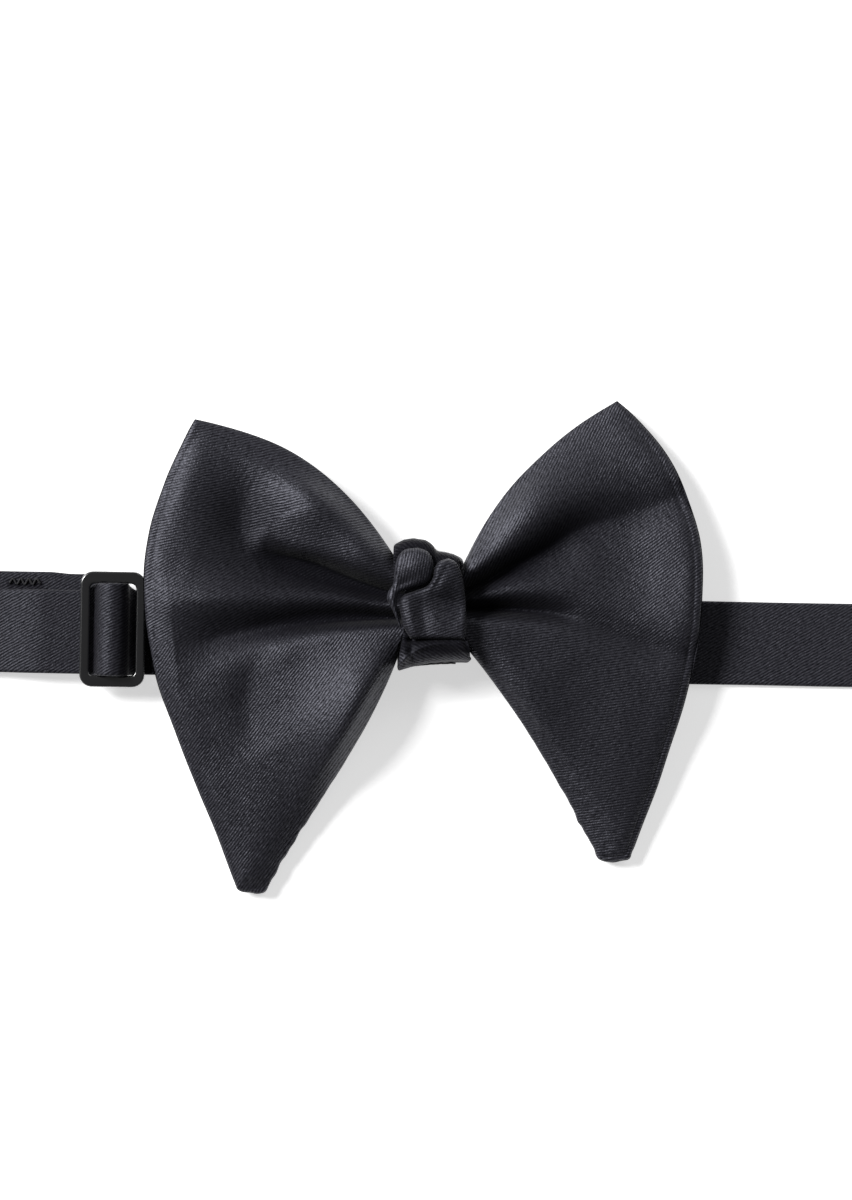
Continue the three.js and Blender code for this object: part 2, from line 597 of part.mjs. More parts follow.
function addEye() {
  add('eye_end_fold', bandFold(RIGHT_ARM, 1), satin);
  const slotEnd = HALF_BAND + 0.4;
  const slotRight = RIGHT_ARM + BAR_WIDTH / 2 + BAND_SLOT;
  const hookSlot = slotRight + EYE_CROSSBAR;
  const eye = stampedPlate(
    [RIGHT_ARM - BAR_WIDTH / 2, -HARDWARE_WIDTH / 2, hookSlot + EYE_SLOT_LENGTH + EYE_CROSSBAR, HARDWARE_WIDTH / 2],
    [
      [RIGHT_ARM + BAR_WIDTH / 2, -slotEnd, slotRight, slotEnd],
      [hookSlot, -EYE_SLOT_WIDTH / 2, hookSlot + EYE_SLOT_LENGTH, EYE_SLOT_WIDTH / 2],
    ],
    1.2,
    BAR_Z - HARDWARE_THICKNESS / 2,
    HARDWARE_THICKNESS,
  );
  add('eye', eye, blackMetal);

  const tackX = RIGHT_ARM - FOLD_REACH + 1;
  const tackZ = TAIL_Z + BAND_THICKNESS / 2 + 0.3;
  const tack = zigzag(15, (u, up) => new THREE.Vector3(tackX + 1.4 * up, mix(-TACK, TACK, u), tackZ));
  add('eye_end_stitches', threadAlong(tack, 0.18), thread);
}

addWing('left', LEFT_WING);
addWing('right', RIGHT_WING);
addWaist();
addKnot();
addMainRun();
addSlider();
addOuterRuns();
addHook();
addEye();

export default bowTie;
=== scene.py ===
"""The looks of a black satin bow tie: pleated wings, a wrapped knot and an adjustable neckband.

Shapes are worked out in millimetres in the frame's own axes and written to Blender in metres.
The bow lies face up: +X runs along the neckband towards the eye, +Y to the bow's top, +Z up.
"""

import json
import math

import bpy
import numpy as np
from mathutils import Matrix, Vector, noise


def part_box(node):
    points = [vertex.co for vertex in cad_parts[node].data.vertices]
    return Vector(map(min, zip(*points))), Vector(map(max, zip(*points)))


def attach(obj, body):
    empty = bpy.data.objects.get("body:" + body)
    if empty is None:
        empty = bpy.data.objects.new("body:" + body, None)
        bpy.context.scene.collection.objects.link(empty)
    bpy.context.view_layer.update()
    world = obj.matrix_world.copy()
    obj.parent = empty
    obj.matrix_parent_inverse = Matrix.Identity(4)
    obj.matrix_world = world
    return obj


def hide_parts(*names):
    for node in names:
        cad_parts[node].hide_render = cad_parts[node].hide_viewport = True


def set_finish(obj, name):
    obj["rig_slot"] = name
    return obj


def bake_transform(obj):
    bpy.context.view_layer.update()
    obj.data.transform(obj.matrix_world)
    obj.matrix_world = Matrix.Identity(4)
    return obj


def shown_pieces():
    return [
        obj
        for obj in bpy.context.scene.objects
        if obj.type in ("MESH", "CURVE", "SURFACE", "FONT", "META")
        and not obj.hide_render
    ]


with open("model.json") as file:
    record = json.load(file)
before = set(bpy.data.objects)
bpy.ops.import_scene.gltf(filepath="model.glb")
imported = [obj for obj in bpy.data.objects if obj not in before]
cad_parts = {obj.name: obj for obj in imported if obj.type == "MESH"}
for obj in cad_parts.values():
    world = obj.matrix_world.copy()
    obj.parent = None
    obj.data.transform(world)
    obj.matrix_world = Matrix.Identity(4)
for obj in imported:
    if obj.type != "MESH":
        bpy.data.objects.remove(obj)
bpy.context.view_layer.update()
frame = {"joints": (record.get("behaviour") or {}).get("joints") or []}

MM = 0.001
SHARP_EDGE = math.radians(50)


# -------- places taken from the frame
def box_mm(node):
    low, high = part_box(node)
    return np.array(low) / MM, np.array(high) / MM


slider_low, slider_high = box_mm("slider_frame")
hook_low, hook_high = box_mm("hook")
eye_low, eye_high = box_mm("eye")
loop_low, loop_high = box_mm("knot_back_loop")
joints = {joint["name"]: joint for joint in frame["joints"]}

SLIDER_X = (slider_low[0] + slider_high[0]) / 2
SLIDER_Z = (slider_low[2] + slider_high[2]) / 2
HOOK_X = joints["hook_swivel"]["pos_m"][0] / MM
EYE_X = joints["eye_swivel"]["pos_m"][0] / MM
BAR_Z = joints["eye_swivel"]["pos_m"][2] / MM

GAP = 0.3  # between pieces that meet
BAND_HALF = 10.0
BAND_THICKNESS = 1.2
SLEEVE_WALL = 0.3
CORE_THICKNESS = 0.3
CORE_INSET = 0.8  # from the sleeve's edges to its interlining
LAYER_GAP = 0.2
LOW = BAND_THICKNESS / 2  # middle of a band that lies on the table
SECOND = LOW + BAND_THICKNESS + LAYER_GAP  # middle of a second layer on the first
BAR_FOLD = 1.9  # radius of a fold's middle round a bar
ANCHOR_REACH = 16.0  # from the slider's bar to the end of the band sewn round it
FOLD_REACH = 12.0  # from the hook's or the eye's bar to the end of its fold
LEG_Z = slider_low[2] - GAP - BAND_THICKNESS / 2  # middle of the band under the slider's side bars
STRAP_PAINTED_SHADE = 0.32  # share of painted shade that darkens the doubled straps

KNOT_Y = (loop_low[1] + loop_high[1]) / 2
WAIST_X = 6.2
WAIST_Z = 7.6
WAIST_HALF_WIDTH = 7.3
WAIST_LOFT = 4.1  # half of the waist's thickness
WING_REACH = 62.0  # the wings' outlines are given in shares of these two
WING_HEIGHT = 112.0
PANEL = 0.45  # thickness of a wing's satin
LINING = 0.4  # and of its interlining


# -------- numbers and curves
def mix(a, b, w):
    return a + (b - a) * w


def smooth(low, high, x):
    w = np.clip((x - low) / (high - low), 0, 1)
    return w * w * (3 - 2 * w)


def roll(distance, radius):
    """Height of a rounded edge, from 0 at the edge to 1 one radius in."""
    w = np.clip(distance / radius, 0, 1)
    return np.sqrt(np.clip(1 - (1 - w) ** 2, 0, 1))


def bell(distance, width):
    """1 where the distance is 0, and almost nothing two widths away."""
    return np.exp(-((distance / width) ** 2))


def bezier(points, u):
    a, b, c, d = (np.asarray(p, float) for p in points)
    u = np.asarray(u, float)[..., None]
    return (1 - u) ** 3 * a + 3 * u * (1 - u) ** 2 * b + 3 * u * u * (1 - u) * c + u**3 * d


def spline(points, count):
    """A smooth curve of `count` samples through rows of numbers."""
    rows = np.asarray(points, float)
    last = len(rows) - 1
    u = np.linspace(0, last, count)
    i = np.minimum(u.astype(int), last - 1)
    f = (u - i)[:, None]
    a, b, c, d = (rows[np.clip(i + step, 0, last)] for step in (-1, 0, 1, 2))
    square, cube = 2 * a - 5 * b + 4 * c - d, 3 * b - a - 3 * c + d
    return 0.5 * (2 * b + (c - a) * f + square * f**2 + cube * f**3)


def wobble(points, size, seed):
    """Smooth noise from -1 to 1 at each point, with bumps about `size` across."""
    flat = points.reshape(-1, points.shape[-1])
    values = [noise.noise(Vector((p[0] / size + seed, p[1] / size, 0.37 * seed))) for p in flat]
    return np.array(values).reshape(points.shape[:-1])


# -------- meshes and pieces
def new_object(name, vertices, faces):
    mesh = bpy.data.meshes.new(name)
    mesh.from_pydata((np.asarray(vertices) * MM).tolist(), [], faces)
    mesh.update()
    mesh.polygons.foreach_set("use_smooth", [True] * len(mesh.polygons))
    mesh.set_sharp_from_angle(angle=SHARP_EDGE)
    obj = bpy.data.objects.new(name, mesh)
    bpy.context.collection.objects.link(obj)
    return obj


def grid_faces(rows, columns, start=0, wrap=False, flip=False):
    """The four-sided faces between a grid's vertices, the first of which has the number `start`."""
    i, j = np.meshgrid(np.arange(rows - 1), np.arange(columns if wrap else columns - 1), indexing="ij")
    k = (j + 1) % columns
    quads = np.stack([i * columns + j, i * columns + k, (i + 1) * columns + k, (i + 1) * columns + j], -1)
    quads = quads.reshape(-1, 4) + start
    return (quads[:, ::-1] if flip else quads).tolist()


def turned(points, angle):
    """Cloth coordinates whose first number grows across ribs that run at `angle` degrees."""
    c, s = math.cos(math.radians(angle)), math.sin(math.radians(angle))
    x, y = points[..., 0], points[..., 1]
    return np.stack([y * c - x * s, x * c + y * s], -1)


def set_uv(obj, uv, name="cloth"):
    """One UV pair for each vertex, in metres along the cloth."""
    layer = obj.data.uv_layers.new(name=name)
    loops = np.empty(len(obj.data.loops), int)
    obj.data.loops.foreach_get("vertex_index", loops)
    layer.data.foreach_set("uv", (np.asarray(uv) * MM)[loops].astype(np.float32).ravel())


def vertices_mm(obj):
    return np.array([vertex.co for vertex in obj.data.vertices]) / MM


def set_share(obj, name, values):
    """A number from 0 to 1 for each vertex, which the materials read by its name."""
    attribute = obj.data.attributes.new(name, "FLOAT", "POINT")
    attribute.data.foreach_set("value", np.asarray(values, np.float32).ravel())


def finish_piece(obj, node, slot, body=None):
    """Hides the CAD nodes that a piece stands for, gives it its material slot and puts it on the body it
    rides on.
    """
    for name in [node] if isinstance(node, str) else node:
        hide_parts(name)
    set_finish(obj, slot)
    if body:
        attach(obj, body)


def surface(plan, z):
    return np.concatenate([plan, z[..., None]], -1)


def sheet_between(name, top, bottom, flip=False):
    """A closed sheet between two grids of points with the same shape."""
    rows, columns = top.shape[:2]
    count = rows * columns
    faces = grid_faces(rows, columns, flip=not flip) + grid_faces(rows, columns, count, flip=flip)
    rim = [j for j in range(columns)]
    rim += [i * columns + columns - 1 for i in range(1, rows)]
    rim += [(rows - 1) * columns + j for j in range(columns - 2, -1, -1)]
    rim += [i * columns for i in range(rows - 2, 0, -1)]
    for a, b in zip(rim, rim[1:] + rim[:1]):
        quad = [a, b, b + count, a + count]
        faces.append(quad[::-1] if flip else quad)
    return new_object(name, np.concatenate([top.reshape(-1, 3), bottom.reshape(-1, 3)]), faces)


# -------- bands
def resample(points, count):
    """The same line as `count` evenly spaced points."""
    points = np.asarray(points, float)
    steps = np.linalg.norm(np.diff(points, axis=0), axis=1)
    length = np.concatenate([[0], np.cumsum(steps)])
    at = np.linspace(0, length[-1], count)
    return np.stack([np.interp(at, length, points[:, k]) for k in range(points.shape[1])], -1), at


def arc(centre, radius, start, end, count=24):
    angles = np.radians(np.linspace(start, end, count))
    return np.stack([centre[0] + radius * np.cos(angles), centre[1] + radius * np.sin(angles)], -1)


def curve_to(points):
    return bezier(points, np.linspace(0, 1, 16))


def strip_loop(half, thickness, inset):
    """Across and height of a folded strip's section, from one edge over the top and back below."""
    edge = np.cos(np.linspace(0, math.pi, 36))
    from_edge = (1 - np.abs(edge)) * half
    height = roll(from_edge, thickness * 0.55) * (thickness / 2 - inset)
    across = edge * (half - inset)
    top = np.stack([across, height], -1)
    bottom = np.stack([across[::-1], -height[::-1]], -1)[1:-1]
    return np.concatenate([top, bottom])


def ribbon(name, path, edges, thickness, plane="xz", hollow=0.0, twill=30.0, ripple=0.12, seed=1):
    """A strip swept along a line in the X-Z or the Y-Z plane.

    `path` is the line and the length along it, `edges` the strip's two sides at each step, and `hollow`
    the wall of a strip that is a sleeve, or 0 for a solid one.
    """
    line, at = path
    rows = len(line)
    tangent = np.gradient(line, axis=0)
    tangent /= np.linalg.norm(tangent, axis=1, keepdims=True)
    normal = np.stack([-tangent[:, 1], tangent[:, 0]], -1)
    low, high = (np.broadcast_to(e, rows).astype(float) for e in edges)
    middle, half = (low + high) / 2, (high - low) / 2
    shells, uvs = [], []
    for inset in (0.0, hollow) if hollow else (0.0,):
        loops = np.stack([strip_loop(h, thickness, inset) for h in half])
        place = np.stack([np.repeat(at[:, None], loops.shape[1], 1), loops[..., 0]], -1)
        from_ends = smooth(0, 6, at)[:, None] * smooth(0, 6, at[-1] - at)[:, None]
        wave = ripple * wobble(place, 17, seed) * from_ends
        lift = loops[..., 1] + wave
        across = middle[:, None] + loops[..., 0] + 0.5 * wave
        a = line[:, None, 0] + normal[:, None, 0] * lift
        z = line[:, None, 1] + normal[:, None, 1] * lift
        points = np.stack([a, across, z], -1) if plane == "xz" else np.stack([across, a, z], -1)
        shells.append(points)
        uvs.append(turned(place, twill))
    columns = shells[0].shape[1]
    flip = plane == "yz"
    count = rows * columns
    faces = grid_faces(rows, columns, wrap=True, flip=flip)
    if hollow:
        faces += grid_faces(rows, columns, count, wrap=True, flip=not flip)
    for base, turn in ((0, True), (count - columns, False)):
        for j in range(columns if hollow else columns // 2):
            if hollow:
                k = (j + 1) % columns
                cap = [j, k, count + k, count + j]
            else:
                opposite = (columns - j) % columns
                cap = list(dict.fromkeys([j, j + 1, columns - j - 1, opposite]))
            cap = [base + corner for corner in cap]
            faces.append(cap[::-1] if turn != flip else cap)
    obj = new_object(name, np.concatenate([shell.reshape(-1, 3) for shell in shells]), faces)
    set_uv(obj, np.concatenate([uv.reshape(-1, 2) for uv in uvs]))
    return obj


def tube(name, points, radius, samples=None):
    """A round thread through points, thinner at its two ends."""
    sides = 10
    line = spline(points, samples or len(points) * 8)
    tangent = np.gradient(line, axis=0)
    tangent /= np.linalg.norm(tangent, axis=1, keepdims=True)
    side = np.cross(tangent, (0.02, 0.03, 1.0))
    side /= np.linalg.norm(side, axis=1, keepdims=True)
    up = np.cross(side, tangent)
    angles = np.linspace(0, 2 * math.pi, sides, endpoint=False)
    taper = np.minimum(1, 0.3 + np.minimum(np.arange(len(line)), np.arange(len(line))[::-1]) * 0.35)
    spread = radius * taper[:, None, None]
    ring = side[:, None] * np.cos(angles)[:, None] + up[:, None] * np.sin(angles)[:, None]
    vertices = line[:, None] + spread * ring
    faces = grid_faces(len(line), sides, wrap=True)
    faces.append(list(range(sides))[::-1])
    faces.append([(len(line) - 1) * sides + j for j in range(sides)])
    obj = new_object(name, vertices.reshape(-1, 3), faces)
    length = np.concatenate([[0], np.cumsum(np.linalg.norm(np.diff(line, axis=0), axis=1))])
    uv = np.stack([np.repeat(length[:, None], sides, 1), np.tile(angles * radius, (len(line), 1))], -1)
    set_uv(obj, turned(uv, 35).reshape(-1, 2))
    return obj


def band_run(name, x0, x1, height, edges, steps, seed):
    """A flat run of neckband along X: a satin sleeve round a strip of interlining."""
    x = np.linspace(x0, x1, steps)
    low, high = edges(x)
    line = np.stack([x, height(x)], -1)
    path = (line, x - x0)
    sleeve = ribbon(f"{name}_satin", path, (low, high), BAND_THICKNESS, hollow=SLEEVE_WALL, seed=seed)
    inner = slice(2, -2)
    inside = (low[inner] + CORE_INSET, high[inner] - CORE_INSET)
    path = (line[inner], (x - x0)[inner])
    core = ribbon(f"{name}_core", path, inside, CORE_THICKNESS, ripple=0.05, seed=seed)
    finish_piece(sleeve, f"{name}_sleeve", "satin")
    finish_piece(core, f"{name}_interlining", "interlining")
    return sleeve, core


KNOT_PASS_Z = 2.0
KNOT_PASS_EDGES = (-3.2, 9.2)
RETURN_BOW = 4.3


def main_height(x):
    """The band rises a little to pass through the knot."""
    return mix(KNOT_PASS_Z, LOW, smooth(10, 32, np.abs(x)))


def main_edges(x):
    """The knot pinches the band to KNOT_PASS_EDGES."""
    pinch = 1 - smooth(9, 28, np.abs(x))
    return mix(-BAND_HALF, KNOT_PASS_EDGES[0], pinch), mix(BAND_HALF, KNOT_PASS_EDGES[1], pinch)


JOIN_X = -12.0  # where the left arm meets the right one, under the left wing
LEG_END = SLIDER_X + 9.16  # where the left arm meets the band that goes over the slider's bar
run_start = HOOK_X + FOLD_REACH + GAP
run_end = SLIDER_X - ANCHOR_REACH - GAP

left_band = band_run("neckband_left", LEG_END, JOIN_X - GAP, main_height, main_edges, 90, 3)
right_band = band_run("neckband_right", JOIN_X, EYE_X - FOLD_REACH - 2, main_height, main_edges, 190, 7)


def outer_height(x):
    """The outer arm's front layer rises towards the slider."""
    return mix(SECOND, LEG_Z, smooth(run_end - 14, run_end, x))


def return_height(x):
    return np.full_like(x, LOW)


def straight_edges(x):
    return np.full_like(x, -BAND_HALF), np.full_like(x, BAND_HALF)


def bowed_edges(x):
    """The return layer bows out from under the front one, and shows past its top edge by the slider."""
    bow = RETURN_BOW * np.sin(math.pi * np.minimum((x - run_start) / (run_end - run_start), 0.62) * 0.8)
    return bow - BAND_HALF, bow + BAND_HALF


outer_end = SLIDER_X - ANCHOR_REACH + 0.24
return_end = SLIDER_X - ANCHOR_REACH + 0.04
outer_run = band_run("outer_run", run_start, outer_end, outer_height, straight_edges, 90, 11)
return_run = band_run("return_run", run_start, return_end, return_height, bowed_edges, 90, 15)

# The band's end comes in along the table, turns up round the slider's bar and lies back on itself.
anchor_line = np.concatenate([
    [(-ANCHOR_REACH, LOW), (-11, LOW)],
    curve_to([(-5.5, LOW), (-2, LOW), (-1.5, SLIDER_Z - BAR_FOLD), (0, SLIDER_Z - BAR_FOLD)]),
    arc((0, SLIDER_Z), BAR_FOLD, -90, 180)[1:],
    curve_to([
        (-BAR_FOLD, SLIDER_Z - 0.1), (-BAR_FOLD, SLIDER_Z - 1.5), (-3.5, SECOND), (-5.8, SECOND),
    ])[2:],
    [(-11, SECOND), (0.5 - ANCHOR_REACH, SECOND)],
])
anchor_path = resample(anchor_line + (SLIDER_X, 0), 110)
_, leg_shift = bowed_edges(np.array([run_end]))
shift = (leg_shift[0] - BAND_HALF) * (1 - smooth(9.5, 15.5, anchor_path[1]))
half = mix(BAND_HALF, 9.6, smooth(0, 6, anchor_path[1]))
anchor = ribbon("slider_anchor", anchor_path, (shift - half, shift + half), BAND_THICKNESS, ripple=0)
# painted shade: the outer arm's front layer and the sewn end are darkened evenly
for obj in (anchor, outer_run[0]):
    set_share(obj, "painted_shade", np.full(len(obj.data.vertices), STRAP_PAINTED_SHADE))
finish_piece(anchor, "slider_anchor_loop", "satin", "slider")

# The band from the wing passes over the sewn end, and down again to the front layer of the outer arm.
OVER = BAR_FOLD + BAND_THICKNESS + LAYER_GAP
bight_line = np.concatenate([
    curve_to([(9.2, LOW), (7, LOW), (OVER, 2.4), (OVER, SLIDER_Z)]),
    arc((0, SLIDER_Z), OVER, 0, 180)[1:],
    curve_to([
        (-OVER, SLIDER_Z), (-OVER, SLIDER_Z - 1), (-OVER - 0.9, LEG_Z), (-OVER - 2.6, LEG_Z),
    ])[1:],
    [(-11, LEG_Z), (0.2 - ANCHOR_REACH, LEG_Z)],
])
bight_path = resample(bight_line + (SLIDER_X, 0), 110)
spread = smooth(3, 9, bight_path[1]) * (1 - smooth(19, 25, bight_path[1]))
bight_edges = (-BAND_HALF - 0.3 * spread, BAND_HALF + 1.85 * spread)
bight = ribbon("slider_bight", bight_path, bight_edges, BAND_THICKNESS, twill=150, ripple=0)
# painted shadow: the band past the bar, down in the slot, is darkened almost to black
from_bar = vertices_mm(bight)[:, 0] - SLIDER_X
set_share(bight, "painted_shade", mix(STRAP_PAINTED_SHADE, 0.97, smooth(1.2, 2.9, from_bar)))
finish_piece(bight, "slider_band_bight", "satin", "slider")


def end_fold(name, bar_x, sign, body):
    """The band's end folded round a bar and laid back on itself."""
    line = np.concatenate([
        [(-FOLD_REACH, SECOND), (1.5 - FOLD_REACH, SECOND)],
        curve_to([(-9.5, SECOND), (-6, SECOND), (-3.5, BAR_Z + BAR_FOLD), (0, BAR_Z + BAR_FOLD)]),
        arc((0, BAR_Z), BAR_FOLD, 90, -90)[1:],
        [(-6, LOW), (-FOLD_REACH, LOW)],
    ])
    path = resample(line * (sign, 1) + (bar_x, 0), 100)
    obj = ribbon(f"{name}_fold", path, (-BAND_HALF, BAND_HALF), BAND_THICKNESS, ripple=0)
    finish_piece(obj, f"{name}_end_fold", "satin", body)


end_fold("hook", HOOK_X, -1, "hook_end")
end_fold("eye", EYE_X, 1, "bow")


# -------- wings
# An outline runs from the waist's top round to its bottom, in shares of WING_REACH and WING_HEIGHT. Every
# third point is a corner, and those between them bend the edges.
# A fold's rows are x, y, depth and its width above and below its line, or one width for both.
# A bulge is x, y, height and its widths along X and Y. The lower lobe begins below the `lower_fold`,
# and the ribs of the twill run at these angles on the wing and its two lobes.
LEFT_WING = dict(
    sign=-1,
    outline=[
        (0.215, 0.257), (0.424, 0.351), (0.819, 0.387),
        (1.231, -0.012), (0.868, -0.248), (0.634, -0.61),
        (0.616, -0.625), (0.521, -0.624), (0.51, -0.604),
        (0.356, -0.438), (0.102, -0.265),
    ],
    edge_height=[7.6, 8, 8, 5, 1.7],
    folds=[
        [(-6, 10.2, 3.8, 1.4, 1.8), (-13, 11.6, 4.2, 1.9, 2.6), (-21, 14.0, 4.6, 2.2, 3.2),
         (-29, 16.5, 5.6, 2.0, 3.8), (-35, 17.8, 4.4, 2.2, 4.4), (-42, 18.0, 1.0, 5, 6),
         (-49, 18.6, 0, 6, 6)],
        [(-37, 18.6, 0.3, 4, 5), (-43, 20, 1.6, 6, 7), (-46, 25, 2.3, 8, 7),
         (-44.5, 33, 1.4, 9, 8), (-41, 40, 0, 10, 8)],
        [(-8, 9.0, 0.5, 1.2, 1.2), (-16, 10.2, 0.7, 1.6, 1.8), (-25, 11.4, 0.8, 2.2, 2.4),
         (-36, 12.8, 0.9, 3, 3.4), (-48, 15.2, 0.6, 5, 5), (-57, 18, 0, 6, 6)],
        [(-6, 4.6, 4.2, 2.2, 1.0), (-14, 4.5, 4.4, 3.2, 1.3), (-24.3, 4.0, 4.2, 4.0, 1.8),
         (-36.3, 2.6, 3.2, 4.8, 3.0), (-46, 0.7, 2.4, 5.5, 4.5), (-53.5, -1.4, 1.6, 6, 5.5),
         (-61, -2.4, 0, 8, 8)],
        [(-38, -2, 0.1, 3, 3), (-42, -8, 0.5, 4, 4), (-43.5, -15, 0.8, 4.5, 4.5),
         (-42, -22, 0.5, 5, 5), (-39, -28, 0, 5, 5)],
    ],
    bulges=[
        (-15, -12, 3.0, 9, 10), (-21, -24, 3.8, 13, 12), (-14, 23, 3.0, 8, 8), (-26, 33, 4.2, 10, 9),
        (-57, 34, 0.6, 7, 12), (-50, 8.5, 2.0, 14, 4.5), (-40, -42, 0.7, 6, 14),
    ],
    lower_fold=3,
    seam=0.1,
    cut=(0.066, 0.116),
    panel_area=0.0055,
    lining_area=0.0045,
    twill={"cloth": 30, "upper_lobe": 13, "lower_lobe": 54},
)
RIGHT_WING = dict(
    sign=1,
    outline=[
        (0.134, 0.244), (0.295, 0.338), (0.606, 0.446),
        (1.181, 0.171), (0.882, -0.203), (0.689, -0.522),
        (0.692, -0.543), (0.573, -0.546), (0.558, -0.534),
        (0.415, -0.379), (0.231, -0.207),
    ],
    edge_height=[3.4, 6.8, 8.4, 4.4, 1.7],
    folds=[
        [(6, 10.4, 3.4, 1.4, 1.5), (10, 12.4, 4.0, 2.2, 1.9), (16.5, 16.2, 4.2, 2.4, 3.4),
         (26, 21.4, 3.6, 3.4, 6.6), (34.1, 26.4, 2.6, 4.2, 6.6), (42.7, 29.0, 2.0, 5.5, 6),
         (51.5, 31.9, 1.6, 6, 5), (60, 35.2, 1.0, 4, 4)],
        [(6, 7.0, 3.8, 1.7, 1.2), (13, 7.2, 4.0, 2.4, 1.6), (20.5, 7.2, 3.8, 3.0, 2.0),
         (29.9, 6.4, 2.6, 3.6, 2.6), (36, 4.7, 1.5, 4.6, 3.8), (43, 1.9, 1.4, 5.4, 4.2),
         (52, -0.8, 1.5, 5.8, 4.4), (61, -3.0, 1.0, 5, 4)],
    ],
    bulges=[
        (46, 16, -2.8, 12, 12), (24, -14, 0.8, 12, 11), (20, 33, 3.6, 13, 13),
        (10, 17, 1.5, 5, 5), (44, -30, 0.6, 8, 16),
    ],
    lower_fold=1,
    seam=0.18,
    cut=(0.062, 0.113),
    panel_area=0.0049,
    lining_area=0.0039,
    twill={"cloth": 37, "upper_lobe": 65, "lower_lobe": 10},
)
TIP_SHARE = 0.93  # where along the outer edge the blunt tip begins
RIM_LOFT = 2.2  # half of a wing's thickness inside its outer edge
FOLD_SCALE = 1.5
FOLD_SHARPNESS = 1.6  # 2 would be a round valley, and 1 a sharp one
THINNEST = 1.1  # a wing's thickness where a fold is deepest
SEAM_INSET = 1.8
SEAM_WIDTH = 0.4
PUCKER = 0.14
TIP_CRUMPLE = 0.6
WAIST_PLEATS = 3.5
DARK_DEPTH = 3.4  # depth of a fold that gets the full painted shade


def dome(xy, x, y, wide, tall):
    return np.exp(-(((xy[..., 0] - x) / wide) ** 2) - ((xy[..., 1] - y) / tall) ** 2)


def fold_depth(xy, rows):
    """How far a fold pushes each point down: deepest on its line, with a width of its own each side."""
    line = spline(rows, 90)
    tangent = np.gradient(line[:, :2], axis=0)
    normal = np.stack([-tangent[:, 1], tangent[:, 0]], -1)
    normal /= np.linalg.norm(normal, axis=1, keepdims=True)
    normal *= math.copysign(1, normal[:, 1].sum())
    flat = xy.reshape(-1, 2)
    offset = flat[:, None] - line[None, :, :2]
    nearest = (offset**2).sum(-1).argmin(1)
    near = line[nearest]
    gap = offset[np.arange(len(flat)), nearest]
    distance = np.linalg.norm(gap, axis=1)
    above = (gap * normal[nearest]).sum(1) > 0
    width = np.where(above, near[:, 3], near[:, -1])
    return (near[:, 2] * np.exp(-((distance / width) ** FOLD_SHARPNESS))).reshape(xy.shape[:-1])


def wing_plan(wing, s, t):
    """Where the wing's point (s, t) lies in X and Y, and how far from the top, bottom and outer edges.

    s runs out from the waist to the outer edge, and t from the top edge down.
    """
    sign = wing["sign"]
    waist = [(sign * WAIST_X, KNOT_Y + up * WAIST_HALF_WIDTH) for up in (1, -1)]
    outline = [
        (sign * (WAIST_X + out * WING_REACH), KNOT_Y + up * WING_HEIGHT)
        for out, up in wing["outline"]
    ]
    chain = [waist[0], *outline, waist[1]]
    top, outer, tip, bottom = chain[0:4], chain[3:7], chain[6:10], chain[9:13][::-1]

    def outer_at(t):
        on_tip = bezier(tip, np.clip((t - TIP_SHARE) / (1 - TIP_SHARE), 0, 1))
        return np.where((t < TIP_SHARE)[..., None], bezier(outer, np.clip(t / TIP_SHARE, 0, 1)), on_tip)

    s1, t1 = s[..., None], t[..., None]
    waist_at = mix(np.array(waist[0]), np.array(waist[1]), t1)
    edge = outer_at(t)
    upper, lower = bezier(top, s), bezier(bottom, s)
    corners = (1 - s1) * ((1 - t1) * waist[0] + t1 * np.array(waist[1]))
    corners = corners + s1 * ((1 - t1) * np.array(top[3]) + t1 * np.array(bottom[3]))
    plan = (1 - s1) * waist_at + s1 * edge + (1 - t1) * upper + t1 * lower - corners
    crumpled = TIP_CRUMPLE * (s1 * smooth(0.88, 0.95, t1)) ** 3
    plan = plan + s1 * 0.4 * np.stack([wobble(plan, 12, 2), wobble(plan, 12, 6)], -1)
    plan = plan + crumpled * np.stack([wobble(plan, 2.6, 4), wobble(plan, 2.6, 11)], -1)
    across = np.linalg.norm(upper - lower, axis=-1)
    out = np.linalg.norm(edge - waist_at, axis=-1)
    return plan, t * across, (1 - t) * across, (1 - s) * out


